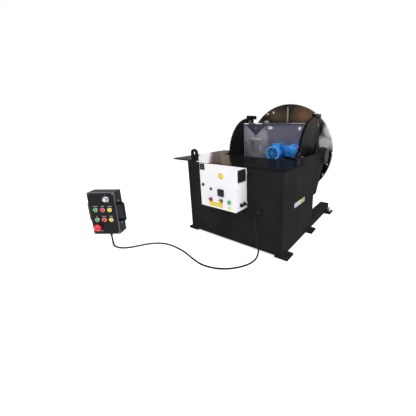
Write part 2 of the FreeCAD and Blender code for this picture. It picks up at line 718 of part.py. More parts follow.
def rotation_gearbox():
    """A parallel-shaft gear case on the back plate: output at the drive shaft, input towards the middle."""
    depth = "gearbox_depth"
    start = f"{BACK_PLATE_Y} - gearbox_depth"
    motor_x = f"({DRIVE_X} - gearmotor_spacing)"
    output = rod("CaseOutput", "gearbox_radius", depth, (DRIVE_X, start, DRIVE_Z), "y")
    inlet = rod("CaseInput", "gearbox_radius * 0.9", depth, (motor_x, start, f"{DRIVE_Z} - 15"), "y")
    web = block("CaseWeb", (motor_x, DRIVE_X), (start, BACK_PLATE_Y),
                (f"{DRIVE_Z} - 0.8 * gearbox_radius", f"{DRIVE_Z} + 0.65 * gearbox_radius"))
    cap = rod("CaseCap", "gearbox_radius * 0.72", "16", (DRIVE_X, f"{start} - 16", DRIVE_Z), "y")
    foot = block("CaseFoot", (f"{DRIVE_X} + 20", f"{DRIVE_X} + gearbox_radius + 14"), (f"{BACK_PLATE_Y} - 26", BACK_PLATE_Y),
                 (f"{DRIVE_Z} - gearbox_radius", f"{DRIVE_Z} + gearbox_radius"))
    bore = rod("CaseBore", "drive_shaft_radius + running_gap", "21", (DRIVE_X, f"{BACK_PLATE_Y} - 21", DRIVE_Z), "y")
    return node("rotation_gearbox", pierced("RotationGearbox", joined("CaseBlank", [output, inlet, web, cap, foot]), [bore]))


def rotation_motor():
    """A finned motor on the gear case's input side with a fan cover and a terminal box."""
    motor_x = f"({DRIVE_X} - gearmotor_spacing)"
    motor_z = f"({DRIVE_Z} - 15)"
    front = f"{BACK_PLATE_Y} - gearbox_depth"
    stator_start = f"{front} - motor_length"
    cover_start = f"{stator_start} - fan_cover_length"
    core = rod("Stator", "motor_radius - 8", "motor_length", (motor_x, stator_start, motor_z), "y")
    pieces = [core, rod("FanCover", "fan_cover_radius", "fan_cover_length", (motor_x, cover_start, motor_z), "y")]
    flange = rod("MotorFlange", "motor_radius", "12", (motor_x, f"{front} - 12", motor_z), "y")
    box = block("TerminalBox", (f"{motor_x} - 40", f"{motor_x} + 40"), (f"{stator_start} + 20", f"{front} - 20"),
                (f"{motor_z} + motor_radius - 12", f"{motor_z} + motor_radius + 22"))
    pieces += [flange, box]
    for index in range(-4, 5):
        height = f"{motor_z} + {index} * 12"
        half = f"sqrt(motor_radius ^ 2 - ({index} * 12) ^ 2)"
        pieces.append(block(f"Fin{index}".replace("-", "m"), (f"{motor_x} - {half}", f"{motor_x} + {half}"),
                            (stator_start, front), (f"{height} - 1.5", f"{height} + 1.5")))
    return node("rotation_motor", joined("RotationMotor", pieces))


rotation_gearbox()
rotation_motor()
node("ground_brush", together("GroundBrush", [
    block("BrushHolder", ("-20", "20"), (RING_Y, f"{HUB_Y} + hub_ring_height - 8"),
          ("axis_height + slew_teeth * slew_module / 2 + 20", "axis_height + slew_teeth * slew_module / 2 + 44")),
    block("BrushCarbon", ("-12", "12"), (f"{HUB_Y} + 6", f"{HUB_Y} + hub_ring_height - 8"),
          ("axis_height + slew_race_radius + 25.3", "axis_height + slew_teeth * slew_module / 2 + 20"))]))


# --- tilt drive inside the base ----------------------------------------------------------
def tilt_shaft():
    """The cross shaft with a pinion under each sector; a gap of each pinion faces the sector's tooth."""
    teeth, module = int(round(size("tilt_pinion_teeth"))), size("tilt_module")
    mesh = math.asin(value_of("tilt_pinion_drop") / value_of(TILT_CENTRES)) + math.pi / teeth
    centre = Vector(0, value_of(PINION_Y), value_of(PINION_Z))
    half = size("base_width") / 2 - size("side_plate") - 4
    pieces = [Part.makeCylinder(size("tilt_shaft_radius"), 2 * half, centre - Vector(half, 0, 0), Vector(1, 0, 0))]
    for sign in SIDES.values():
        start = centre + Vector(sign * size("cheek_spread") - size("tilt_pinion_width") / 2, 0, 0)

        def place(radius, angle):
            return start + Vector(0, radius * math.cos(angle), radius * math.sin(angle))

        pieces.append(toothed_face(teeth, module, mesh, place).extrude(Vector(size("tilt_pinion_width"), 0, 0)))
    return node("tilt_shaft", made("TiltShaft", pieces[0].fuse(pieces[1:])))


tilt_shaft()
bearings = []
for side, sign in SIDES.items():
    start = f"{INNER_RIGHT} - pinion_bearing_depth" if sign > 0 else INNER_LEFT
    flange = f"{INNER_RIGHT} - pinion_bearing_flange" if sign > 0 else INNER_LEFT
    blank = joined(f"PinionBearingBlank{side}", [
        rod(f"PinionHousing{side}", "tilt_shaft_radius + 24", "pinion_bearing_depth", (start, PINION_Y, PINION_Z), "x"),
        rod(f"PinionFlange{side}", "tilt_shaft_radius + 45", "pinion_bearing_flange", (flange, PINION_Y, PINION_Z), "x")])
    bore = rod(f"PinionBore{side}", "tilt_shaft_radius + running_gap", "pinion_bearing_depth", (start, PINION_Y, PINION_Z), "x")
    bearings.append(pierced(f"PinionBearing{side}", blank, [bore]))
node("pinion_bearings", together("PinionBearings", bearings))

BOX_LEFT = "(-tilt_gearbox_offset - tilt_gearbox_width / 2)"
BOX_RIGHT = "(-tilt_gearbox_offset + tilt_gearbox_width / 2)"
node("tilt_gearbox", pierced("TiltGearbox", joined("TiltGearboxBlank", [
    rod("TiltCase", "tilt_gearbox_radius", "tilt_gearbox_width", (BOX_LEFT, PINION_Y, PINION_Z), "x"),
    block("TiltCaseRear", (f"{BOX_LEFT} + 8", f"{BOX_RIGHT} - 8"), (f"{PINION_Y} - tilt_gearbox_back", PINION_Y),
          (f"{PINION_Z} - tilt_gearbox_radius + 6", f"{PINION_Z} + tilt_gearbox_radius - 6")),
]), [rod("TiltCaseBore", "tilt_shaft_radius + running_gap", "tilt_gearbox_width", (BOX_LEFT, PINION_Y, PINION_Z), "x")]))
TILT_BOX_BACK = f"({PINION_Y} - tilt_gearbox_back)"
node("tilt_motor", joined("TiltMotor", [
    rod("TiltMotorBody", "tilt_gearbox_radius - 8", "tilt_motor_length",
        ("-tilt_gearbox_offset", f"{TILT_BOX_BACK} - tilt_motor_length", PINION_Z), "y"),
    rod("TiltMotorCover", "tilt_gearbox_radius - 2", "50",
        ("-tilt_gearbox_offset", f"{TILT_BOX_BACK} - tilt_motor_length", PINION_Z), "y"),
    block("TiltMotorBox", ("-tilt_gearbox_offset - 40", "-tilt_gearbox_offset + 40"),
          (f"{TILT_BOX_BACK} - 120", f"{TILT_BOX_BACK} - 30"),
          (f"{PINION_Z} + tilt_gearbox_radius - 20", f"{PINION_Z} + tilt_gearbox_radius + 18"))]))
stand_y = (f"{TILT_BOX_BACK} + 20", f"{PINION_Y} - 60")
stand_top = f"{PINION_Z} - tilt_gearbox_radius + 6"
node("gearbox_stand", joined("GearboxStand", [
    block("StandFoot", (f"{BOX_LEFT} - 10", f"{BOX_RIGHT} + 10"), (f"{TILT_BOX_BACK}", f"{PINION_Y} - 40"),
          (FLOOR_TOP, f"{FLOOR_TOP} + 12")),
    block("StandLeft", (f"{BOX_LEFT} + 8", f"{BOX_LEFT} + 18"), stand_y, (f"{FLOOR_TOP}", stand_top)),
    block("StandRight", (f"{BOX_RIGHT} - 18", f"{BOX_RIGHT} - 8"), stand_y, (f"{FLOOR_TOP}", stand_top)),
    block("StandTop", (f"{BOX_LEFT} + 8", f"{BOX_RIGHT} - 8"), stand_y, (f"{stand_top} - 12", stand_top))]))
node("tilt_limit_switch", joined("TiltLimitSwitch", [
    block("SwitchBody", ("base_width / 2 - side_plate - 36", "base_width / 2 - side_plate - 4"),
          (f"{DECK_FRONT} - 78", f"{DECK_FRONT} - 28"), ("deck_height", "deck_height + 46")),
    block("SwitchLever", ("base_width / 2 - side_plate - 24", "base_width / 2 - side_plate - 18"),
          (f"{DECK_FRONT} - 40", f"{DECK_FRONT} - 6"), ("deck_height + 36", "deck_height + 42"))]))


# --- control cabinet on the rear wall ------------------------------------------------------
CAB_LEFT = "(cabinet_right - cabinet_width)"
CAB_LOW = "(deck_height - cabinet_drop - cabinet_height)"
CAB_TOP = f"({CAB_LOW} + cabinet_height)"
LIP_TOP = f"({CAB_TOP} + door_lip)"
CAB_BACK = f"({REAR} - cabinet_standoff)"
CAB_RIM = f"({REAR} - cabinet_standoff - cabinet_depth + door_depth)"
DOOR_FACE = f"({REAR} - cabinet_standoff - cabinet_depth)"
HINGE_X = "(cabinet_right + hinge_radius + 1)"
HINGE_Y = f"({CAB_RIM} - 2)"
HINGES = (f"{CAB_LOW} + 60", f"{CAB_LOW} + 190")


def cabinet():
    """The steel enclosure on two rails, with hinge sockets on its right side, and its pan-shaped door with the pins
    and a lip that stands up past the enclosure."""
    skin = "cabinet_skin"
    shell = block("ShellOuter", (CAB_LEFT, "cabinet_right"), (CAB_RIM, CAB_BACK), (f"{CAB_LOW}", CAB_TOP))
    room = block("ShellRoom", (f"{CAB_LEFT} + {skin}", f"cabinet_right - {skin}"), (CAB_RIM, f"{CAB_BACK} - {skin}"),
                 (f"{CAB_LOW} + {skin}", f"{CAB_TOP} - {skin}"))
    vent_y = (f"{CAB_RIM} + 20", f"{CAB_RIM} + 14 + vent_side - 8")
    opening = block("ShellVent", (f"cabinet_right - {skin}", "cabinet_right"), vent_y,
                    (f"{CAB_TOP} - vent_side + 8", f"{CAB_TOP} - 8"))
    pieces = [pierced("ShellBox", shell, [room, opening])]
    for index, low in enumerate((30, 290)):
        pieces.append(block(f"Rail{index}", (CAB_LEFT, "cabinet_right"), (CAB_BACK, REAR),
                            (f"{CAB_LOW} + {low}", f"{CAB_LOW} + {low} + 20")))
    pins = []
    for index, low in enumerate(HINGES):
        middle = f"{low} + hinge_height / 2"
        arm = block(f"SocketArm{index}", ("cabinet_right", "cabinet_right + 6"), (f"{CAB_RIM} + 1", f"{CAB_RIM} + 18"),
                    (low, middle))
        barrel = rod(f"SocketBarrel{index}", "hinge_radius", "hinge_height / 2", (HINGE_X, HINGE_Y, low), "z")
        bore = rod(f"SocketBore{index}", "hinge_pin_radius + running_gap", "hinge_height / 2", (HINGE_X, HINGE_Y, low), "z")
        pieces.append(pierced(f"Socket{index}", joined(f"SocketBlank{index}", [arm, barrel]), [bore]))
        leaf = block(f"DoorLeaf{index}", ("cabinet_right - 1", "cabinet_right + 6"),
                     (f"{CAB_RIM} - door_depth + 3", f"{CAB_RIM} - 3"),
                     (f"{middle} + 0.2", f"{low} + hinge_height"))
        knuckle = rod(f"Knuckle{index}", "hinge_radius", "hinge_height / 2 - 0.2",
                      (HINGE_X, HINGE_Y, f"{middle} + 0.2"), "z")
        pin = rod(f"Pin{index}", "hinge_pin_radius", "hinge_height - 1", (HINGE_X, HINGE_Y, f"{low} + 1"), "z")
        pins += [leaf, knuckle, pin]
    node("cabinet_shell", joined("CabinetShell", pieces))
    outer = block("DoorOuter", (CAB_LEFT, "cabinet_right"), (DOOR_FACE, CAB_RIM), (f"{CAB_LOW}", CAB_TOP))
    pan = block("DoorPan", (f"{CAB_LEFT} + 9", "cabinet_right - 9"), (f"{DOOR_FACE} + {skin}", CAB_RIM),
                (f"{CAB_LOW} + 9", f"{CAB_TOP} - 9"))
    holes = [rod(f"DoorHole{index}", radius, skin, (x, DOOR_FACE, z), "y")
             for index, (x, z, radius) in enumerate(DOOR_HOLES)]
    lip = block("DoorLip", (CAB_LEFT, "cabinet_right"), (DOOR_FACE, f"{DOOR_FACE} + {skin}"), (CAB_TOP, LIP_TOP))
    sheet = pierced("DoorSheet", outer, [pan] + holes)
    node("cabinet_door", joined("CabinetDoor", [sheet, lip] + pins))


ISOLATOR = ("cabinet_right - 152", f"{CAB_LOW} + 144")
LOCK = ("cabinet_right - 347", f"{CAB_LOW} + 189")
START = ("cabinet_right - 63", f"{CAB_LOW} + 78")
RED_LAMP = ("cabinet_right - 266", f"{CAB_LOW} + 68")
AMBER_LAMP = ("cabinet_right - 151", f"{CAB_LOW} + 72")
DOOR_HOLES = [(*ISOLATOR, "8 + running_gap"), (*LOCK, "6 + running_gap"), (*START, "15 + running_gap")]
cabinet()

node("pilot_lamps", together("PilotLamps", [
    joined(f"Lamp{name}", [rod(f"LampRing{name}", "17", "5", (x, f"{DOOR_FACE} - 5", z), "y"),
                           rod(f"LampLens{name}", "13", "16", (x, f"{DOOR_FACE} - 16", z), "y")])
    for name, (x, z) in (("Red", RED_LAMP), ("Amber", AMBER_LAMP))]))
plate_y = (f"{DOOR_FACE} - 1", DOOR_FACE)
SECOND_LOCK = ("cabinet_right - 259", f"{CAB_LOW} + 162")
ISO_X, ISO_Z = ISOLATOR
node("door_plates", together("DoorPlates", [
    block("PlateName", ("cabinet_right - 374", "cabinet_right - 320"), plate_y, (f"{LIP_TOP} - 58", f"{LIP_TOP} - 3")),
    rod("PlateDisc", "25", "1", ("cabinet_right - 146", f"{DOOR_FACE} - 1", f"{CAB_LOW} + 284"), "y"),
    block("PlateWide", ("cabinet_right - 284", "cabinet_right - 136"), plate_y, (f"{CAB_LOW} + 15", f"{CAB_LOW} + 50")),
    block("PlateTag", ("cabinet_right - 80", "cabinet_right - 50"), plate_y, (f"{CAB_LOW} + 14", f"{CAB_LOW} + 36")),
    rod("LockFixed", "12", "6", (SECOND_LOCK[0], f"{DOOR_FACE} - 6", SECOND_LOCK[1]), "y"),
    pierced("IsolatorPlate", block(
        "IsolatorSheet", (f"{ISO_X} - 32", f"{ISO_X} + 32"), (f"{DOOR_FACE} - 8", DOOR_FACE), (f"{ISO_Z} - 29", f"{ISO_Z} + 29")),
        [rod("IsolatorBore", "8 + running_gap", "8", (ISO_X, f"{DOOR_FACE} - 8", ISO_Z), "y")])]))
node("isolator_knob", joined("IsolatorKnob", [
    rod("IsolatorDisc", "22", "6", (ISO_X, f"{DOOR_FACE} - 14.2", ISO_Z), "y"),
    block("IsolatorGrip", (f"{ISO_X} - 6", f"{ISO_X} + 6"), (f"{DOOR_FACE} - 30", f"{DOOR_FACE} - 14"),
          (f"{ISO_Z} - 24", f"{ISO_Z} + 24")),
    rod("IsolatorStem", "8", "26", (ISO_X, f"{DOOR_FACE} - 14", ISO_Z), "y")]))
node("door_lock", joined("DoorLock", [
    rod("LockHead", "12", "6", (LOCK[0], f"{DOOR_FACE} - 6.2", LOCK[1]), "y"),
    block("LockWing", (f"{LOCK[0]} - 3", f"{LOCK[0]} + 3"), (f"{DOOR_FACE} - 14", f"{DOOR_FACE} - 6"),
          (f"{LOCK[1]} - 11", f"{LOCK[1]} + 11")),
    rod("LockStem", "6", "20", (LOCK[0], f"{DOOR_FACE} - 7", LOCK[1]), "y"),
    block("LockTongue", (f"{LOCK[0]} - 5", f"{LOCK[0]} + 5"), (f"{DOOR_FACE} + 10", f"{DOOR_FACE} + 13"),
          (f"{LOCK[1]} - 20", f"{LOCK[1]} + 5"))]))
node("start_button", joined("StartButton", [
    rod("StartCap", "15", "22", (START[0], f"{DOOR_FACE} - 14", START[1]), "y"),
    rod("StartRim", "18", "3", (START[0], f"{DOOR_FACE} - 9", START[1]), "y")]))

gear_y = (f"{CAB_BACK} - cabinet_skin - 3", f"{CAB_BACK} - cabinet_skin")
gear_front = f"{CAB_BACK} - cabinet_skin - 3"
gear_pieces = [block("GearPlate", (f"{CAB_LEFT} + 20", "cabinet_right - 20"), gear_y,
                     (f"{CAB_LOW} + 20", f"{CAB_TOP} - 20"))]
for index, (left, low, wide, tall, deep) in enumerate((
        (40, 210, 110, 90, 75), (170, 220, 45, 75, 70), (225, 220, 45, 75, 70), (280, 220, 60, 75, 55),
        (40, 120, 60, 60, 60), (110, 120, 60, 60, 60), (190, 110, 120, 70, 50), (40, 45, 290, 40, 40))):
    gear_pieces.append(block(
        f"Gear{index}", (f"{CAB_LEFT} + {left}", f"{CAB_LEFT} + {left + wide}"), (f"{gear_front} - {deep}", gear_front),
        (f"{CAB_LOW} + {low}", f"{CAB_LOW} + {low + tall}")))
node("control_gear", joined("ControlGear", gear_pieces))

vent_pieces = []
VENT_LOW, VENT_Y = f"({CAB_TOP} - vent_side)", f"({CAB_RIM} + 14)"
frame = block("VentFrame", ("cabinet_right", "cabinet_right + vent_plate"), (VENT_Y, f"{VENT_Y} + vent_side - 4"),
              (f"{VENT_LOW} + 4", CAB_TOP))
slits = [block(f"VentSlit{index}", ("cabinet_right", "cabinet_right + vent_plate"),
               (f"{VENT_Y} + 10", f"{VENT_Y} + vent_side - 14"),
               (f"{VENT_LOW} + {16 + 10 * index}", f"{VENT_LOW} + {21 + 10 * index}")) for index in range(8)]
node("vent_grille", pierced("VentGrille", frame, slits))

EXIT = ("cable_exit_x", "cable_exit_height")
glands = [pierced("BaseGland", joined("BaseGlandBlank", [
    rod("GlandNut", "cable_radius + 10", "10", (EXIT[0], f"{REAR} - 10", EXIT[1]), "y"),
    cone("GlandSleeve", "cable_radius + 3", "cable_radius + 7", "22", (EXIT[0], f"{REAR} - 22", EXIT[1]), "y"),
    rod("GlandNeck", "cable_radius + 3", "sheet_plate", (EXIT[0], REAR, EXIT[1]), "y")]),
    [rod("GlandBore", "cable_radius", "22 + sheet_plate", (EXIT[0], f"{REAR} - 22", EXIT[1]), "y")])]
for index, along in enumerate((52, 95)):
    glands.append(joined(f"Connector{index}", [
        rod(f"ConnectorFlange{index}", "17", "4", ("cabinet_right", f"{CAB_RIM} + {along}", f"{CAB_LOW} + 46"), "x"),
        rod(f"ConnectorBody{index}", "13", "20", ("cabinet_right", f"{CAB_RIM} + {along}", f"{CAB_LOW} + 46"), "x")]))
node("cable_glands", together("CableGlands", glands))


# --- pendant --------------------------------------------------------------------------------
# It is drawn square to the axes about the middle of its face, which looks along -Y, and then turned and moved.
PENDANT_TURN = 34.5
CENTRE_LIFT = "(pendant_lift + pendant_height / 2)"


def pendant_placed(label, thing):
    """Turns and moves a finished piece of the pendant."""
    holder = doc.addObject("Part::Compound", "Placed" + "".join(word.title() for word in label.split("_")))
    holder.Links = [thing]
    holder.Placement = FreeCAD.Placement(Vector(), FreeCAD.Rotation(Vector(0, 0, 1), PENDANT_TURN))
    holder.setExpression("Placement.Base.x", bound("pendant_x"))
    holder.setExpression("Placement.Base.y", bound("pendant_y"))
    holder.setExpression("Placement.Base.z", bound(CENTRE_LIFT))
    return node(label, holder)


ROW = {1: "40", 2: "-55"}
BUTTONS = {
    f"{colour}_button_{row}": (f"{column} * button_pitch", height)
    for row, height in ROW.items() for column, colour in ((-1, "green"), (0, "red"), (1, "yellow"))}
KNOB_AT = ("42", "137")
STOP_AT = ("-66", "-129")
half_wide, half_high = "pendant_width / 2", "pendant_height / 2"
wall = "pendant_wall"
case = block("CaseOuter", (f"-{half_wide}", half_wide), ("face_plate", "pendant_depth"), (f"-{half_high}", half_high))
room = block("CaseRoom", (f"-{half_wide} + {wall}", f"{half_wide} - {wall}"), ("face_plate", f"pendant_depth - {wall}"),
             (f"-{half_high} + {wall}", f"{half_high} - {wall}"))
cord_hole = rod("CaseCordHole", "cable_radius", wall, ("0", "pendant_depth / 2", f"-{half_high}"), "z")
pendant_placed("pendant_case", pierced("Case", case, [room, cord_hole]))

face_sheet = block("FaceSheet", (f"-{half_wide}", half_wide), ("0", "face_plate"), (f"-{half_high}", half_high))
face_holes = [rod(f"FaceHole{index}", "button_radius + running_gap", "face_plate", (x, "0", z), "y")
              for index, (x, z) in enumerate(BUTTONS.values())]
face_holes += [rod("FaceKnobHole", "8 + running_gap", "face_plate", (KNOB_AT[0], "0", KNOB_AT[1]), "y"),
               rod("FaceStopHole", "12 + running_gap", "face_plate", (STOP_AT[0], "0", STOP_AT[1]), "y")]
screws = []
for index, (across, up) in enumerate(((-1, -1), (-1, 1), (1, -1), (1, 1))):
    screws.append(rod(f"FaceScrew{index}", "5", "3",
                      (f"{across} * ({half_wide} - 10)", "-3", f"{up} * ({half_high} - 10)"), "y"))
pendant_placed("pendant_face", joined("Face", [pierced("FacePierced", face_sheet, face_holes)] + screws))

rings = []
for index, (x, z) in enumerate(BUTTONS.values()):
    rings.append(pierced(f"Bezel{index}", rod(f"BezelBlank{index}", "bezel_radius", "bezel_height", (x, "-bezel_height", z), "y"),
                         [rod(f"BezelBore{index}", "button_radius + running_gap", "bezel_height", (x, "-bezel_height", z), "y")]))
rings.append(pierced("StopBezel", rod("StopBezelBlank", "bezel_radius", "6", (STOP_AT[0], "-6", STOP_AT[1]), "y"),
                     [rod("StopBezelBore", "12 + running_gap", "6", (STOP_AT[0], "-6", STOP_AT[1]), "y")]))
rings.append(pierced("KnobScale", rod("KnobScaleBlank", "knob_radius + 6", "1.5", (KNOB_AT[0], "-1.5", KNOB_AT[1]), "y"),
                     [rod("KnobScaleBore", "8 + running_gap", "1.5", (KNOB_AT[0], "-1.5", KNOB_AT[1]), "y")]))
pendant_placed("button_bezels", together("Bezels", rings))

for index, (label, (x, z)) in enumerate(BUTTONS.items()):
    pendant_placed(label, joined(f"Button{index}", [
        rod(f"ButtonCap{index}", "button_radius", "button_height + 20", (x, "-button_height", z), "y"),
        rod(f"ButtonPlunger{index}", "6", "10", (x, "19", z), "y")]))
pendant_placed("emergency_stop", joined("EmergencyStop", [
    rod("StopMushroom", "mushroom_radius", "mushroom_height - 4", (STOP_AT[0], "-12 - mushroom_height + 4", STOP_AT[1]), "y"),
    rod("StopDome", "mushroom_radius - 8", "4", (STOP_AT[0], "-12 - mushroom_height", STOP_AT[1]), "y"),
    rod("StopStem", "12", "38", (STOP_AT[0], "-13", STOP_AT[1]), "y")]))
pendant_placed("speed_knob", joined("SpeedKnob", [
    rod("KnobSkirt", "knob_radius", "4", (KNOB_AT[0], "-6", KNOB_AT[1]), "y"),
    rod("KnobCap", "knob_radius - 4", "knob_height - 4", (KNOB_AT[0], "-2 - knob_height", KNOB_AT[1]), "y"),
    block("KnobPointer", ("42 - 1.5", "42 + 1.5"), ("-4 - knob_height", "-2 - knob_height"), ("137 + 2", "137 + knob_radius - 5")),
    rod("KnobStem", "8", "20", (KNOB_AT[0], "-3", KNOB_AT[1]), "y")]))

blocks = [block(f"Contact{index}", (f"{x} - 14", f"{x} + 14"), ("36", "70"), (f"{z} - 16", f"{z} + 16"))
          for index, (x, z) in enumerate(list(BUTTONS.values()) + [STOP_AT])]
rails = [block(f"ContactRail{index}", (f"-{half_wide} + {wall}", f"{half_wide} - {wall}"), ("70", "74"), (f"{z} - 18", f"{z} + 18"))
         for index, z in enumerate((ROW[1], ROW[2], STOP_AT[1]))]
pendant_placed("switch_blocks", joined("SwitchBlocks", blocks + rails))


def handle(name, sign):
    """A bridge-shaped grab handle on one side of the case, with a foot at each end and sloping corners."""
    outside, inside = f"({half_wide} + handle_reach)", f"({half_wide} + handle_reach - handle_bar)"
    top, under = "handle_length / 2", "(handle_length / 2 - handle_foot)"
    corner = "handle_corner"
    upper = [
        (outside, f"{top} - {corner}"), (f"{outside} - {corner}", top), (half_wide, top), (half_wide, under),
        (f"{inside} - {corner} / 2", under), (inside, f"{under} - {corner} / 2")]
    outline = upper + [(across, f"-({up})") for across, up in reversed(upper)]
    outline = [(f"{sign} * ({across})", up) for across, up in outline]
    return plate(name, "XZ_Plane", "-(pendant_depth + handle_plate) / 2", "handle_plate", outline)


pendant_placed("pendant_handles", together("Handles", [handle("HandleLeft", -1), handle("HandleRight", 1)]))
pendant_placed("pendant_gland", pierced("PendantGland", joined("PendantGlandBlank", [
    rod("PendantGlandNut", "cable_radius + 9", "12", ("0", "pendant_depth / 2", f"-{half_high} - 12"), "z"),
    cone("PendantGlandSleeve", "cable_radius + 2", "cable_radius + 6", "18",
         ("0", "pendant_depth / 2", f"-{half_high} - 30"), "z")]),
    [rod("PendantGlandBore", "cable_radius", "30", ("0", "pendant_depth / 2", f"-{half_high} - 30"), "z")]))


# --- cable ----------------------------------------------------------------------------------
def cable():
    """The pendant's cable: straight runs with tangent arcs from the rear wall to the pendant's gland."""
    radius, exit_x, exit_z = size("cable_radius"), size("cable_exit_x"), size("cable_exit_height")
    back = value_of(REAR)
    turn = math.radians(PENDANT_TURN)
    inward = size("pendant_depth") / 2
    under = Vector(size("pendant_x") - inward * math.sin(turn), size("pendant_y") + inward * math.cos(turn), radius)
    points = [
        Vector(exit_x, back + size("sheet_plate"), exit_z), Vector(exit_x, back - 45, exit_z),
        Vector(exit_x + 5, back - 92, exit_z - 26), Vector(exit_x + 12, back - 113, exit_z - 75),
        Vector(exit_x + 20, back - 114, exit_z - 135), Vector(exit_x + 29, back - 109, exit_z - 205),
        Vector(exit_x + 34, back - 104, exit_z - 262), Vector(exit_x + 36, back - 103, exit_z - 312),
        Vector(exit_x + 35, back - 125, exit_z - 350), Vector(exit_x + 29, back - 172, radius)]
    floor = [(321, -578), (273, -656), (205, -717), (114, -754), (16, -765), (-101, -743), (-222, -714), (-355, -703),
             (-461, -709), (-540, -739), (-610, -796), (-654, -869), (-700, -945), (-765, -995), (-848, -1005)]
    points += [Vector(x, y, radius) for x, y in floor]
    towards = Vector(floor[-1][0], floor[-1][1], radius) - under
    towards.normalize()
    rise = size("pendant_lift") - radius
    points += [under + towards * 46, under + towards * 20 + Vector(0, 0, 15), under + Vector(0, 0, rise - 51),
               Vector(under.x, under.y, size("pendant_lift") + size("pendant_wall"))]
    edges, start = [], points[0]
    radii = []
    for before, corner, after in zip(points, points[1:], points[2:]):
        into, out = (corner - before).normalize(), (after - corner).normalize()
        half = into.getAngle(out) / 2
        tangent = 0.45 * min((corner - before).Length, (after - corner).Length)
        bend = tangent / math.tan(half)
        radii.append(round(bend))
        first, last = corner - into * tangent, corner + out * tangent
        inside = (out - into).normalize()
        middle = corner + inside * (bend / math.cos(half) - bend)
        edges += [Part.LineSegment(start, first).toShape(), Part.Arc(first, middle, last).toShape()]
        start = last
    edges.append(Part.LineSegment(start, points[-1]).toShape())
    path = Part.Wire(edges)
    section = Part.Wire(Part.makeCircle(radius, points[0], points[1] - points[0]))
    shape = path.makePipeShell([section], True, False)
    length = path.Length
    share = shape.Volume / (math.pi * radius ** 2 * length)
    print(f"cable: {length:.0f} mm, bends {radii} mm, volume share {share:.4f}")
    print("cable points:", [tuple(round(value, 2) for value in point) for point in points])
    return node("pendant_cable", made("PendantCable", shape))


cable()
doc.recompute()

# --- checks and export ---------------------------------------------------------------------
for item in doc.Objects:
    if "Invalid" in item.State or "Error" in item.State:
        raise RuntimeError(f"{item.Name}: {item.State}")
os.makedirs("parts", exist_ok=True)
for label, thing in nodes.items():
    shape = thing.Shape
    if not shape.isValid() or not shape.Solids:
        raise RuntimeError(f"{label}: valid {shape.isValid()}, solids {len(shape.Solids)}")
    shape.exportStep(f"parts/{label}.step")
    box = shape.BoundBox
    print(f"{label}: {len(shape.Solids)} solids, X {box.XMin:.1f} {box.XMax:.1f}, "
          f"Y {box.YMin:.1f} {box.YMax:.1f}, Z {box.ZMin:.1f} {box.ZMax:.1f}")
print(f"{len(nodes)} sub-parts")
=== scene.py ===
"""The looks of a welding positioner: a black plate base, a geared tilting frame with a rotary table,
an off-white control cabinet and a wired push-button pendant. Lengths are in metres, +Z up."""

import math

import bmesh
import bpy
import numpy as np
from mathutils import Euler, Matrix, Vector


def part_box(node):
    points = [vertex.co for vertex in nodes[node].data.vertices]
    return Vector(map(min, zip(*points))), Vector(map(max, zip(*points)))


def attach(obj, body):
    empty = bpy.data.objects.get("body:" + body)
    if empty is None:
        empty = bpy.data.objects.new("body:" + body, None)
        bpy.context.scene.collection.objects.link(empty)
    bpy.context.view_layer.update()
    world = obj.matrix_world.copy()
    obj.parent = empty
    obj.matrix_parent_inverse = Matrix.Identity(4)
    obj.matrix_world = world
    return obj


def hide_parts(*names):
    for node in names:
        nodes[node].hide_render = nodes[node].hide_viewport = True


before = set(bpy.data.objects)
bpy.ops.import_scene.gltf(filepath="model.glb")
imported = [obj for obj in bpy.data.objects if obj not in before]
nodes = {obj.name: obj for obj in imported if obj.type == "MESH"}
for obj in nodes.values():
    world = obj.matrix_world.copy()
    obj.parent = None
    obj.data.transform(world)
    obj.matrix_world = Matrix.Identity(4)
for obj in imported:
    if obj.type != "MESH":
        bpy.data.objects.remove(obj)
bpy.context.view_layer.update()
scene = bpy.context.scene

# --- studio ------------------------------------------------------------------------------
# A white sweep: one pale floor and a white surround. Three large soft lamps light it: one from
# behind the viewer, one that skims the machine's right side and a weaker one from the left.
eye = bpy.data.cameras.new("camera")
eye.lens = 19.8
eye.sensor_width = 36.0
eye.shift_x = -0.0985
eye.shift_y = -0.0536
eye.clip_start, eye.clip_end = 0.05, 150
camera = bpy.data.objects.new("camera", eye)
aim = Euler((math.radians(74.55), 0, math.radians(34.49))).to_matrix()
roll = Matrix.Rotation(math.radians(-0.49), 3, "Z")
camera.matrix_world = Matrix.Translation((1.241, -1.851, 1.088)) @ (aim @ roll).to_4x4()
scene.collection.objects.link(camera)
scene.camera = camera
scene.view_settings.view_transform = "Standard"


def feed(tree, node, inputs):
    """Gives a shader node's inputs their values, or links them to the outputs of other nodes."""
    for name, value in inputs.items():
        if isinstance(value, bpy.types.NodeSocket):
            tree.links.new(value, node.inputs[name])
        else:
            node.inputs[name].default_value = value


def add_node(tree, kind, inputs, **settings):
    """Adds a shader node of one kind, makes its settings and feeds its inputs."""
    node = tree.nodes.new("ShaderNode" + kind)
    for name, value in settings.items():
        setattr(node, name, value)
    feed(tree, node, inputs)
    return node


def maths(tree, operation, *numbers, clamp=False):
    """One step of arithmetic on numbers or on the outputs of other nodes."""
    return add_node(tree, "Math", dict(enumerate(numbers)), operation=operation, use_clamp=clamp).outputs[0]


def ramp(tree, value, stops):
    """A colour picked by a number: each stop is (position, colour), and colours blend between them."""
    picker = add_node(tree, "ValToRGB", {"Fac": value})
    elements = picker.color_ramp.elements
    while len(elements) < len(stops):
        elements.new(0.5)
    for element, (position, colour) in zip(elements, stops):
        element.position = position
        element.color = (*colour, 1)
    return picker.outputs["Color"]


def new_material(name):
    """A fresh material with its node tree and its shader."""
    material = bpy.data.materials.new(name)
    material.use_nodes = True
    return material, material.node_tree, material.node_tree.nodes["Principled BSDF"]


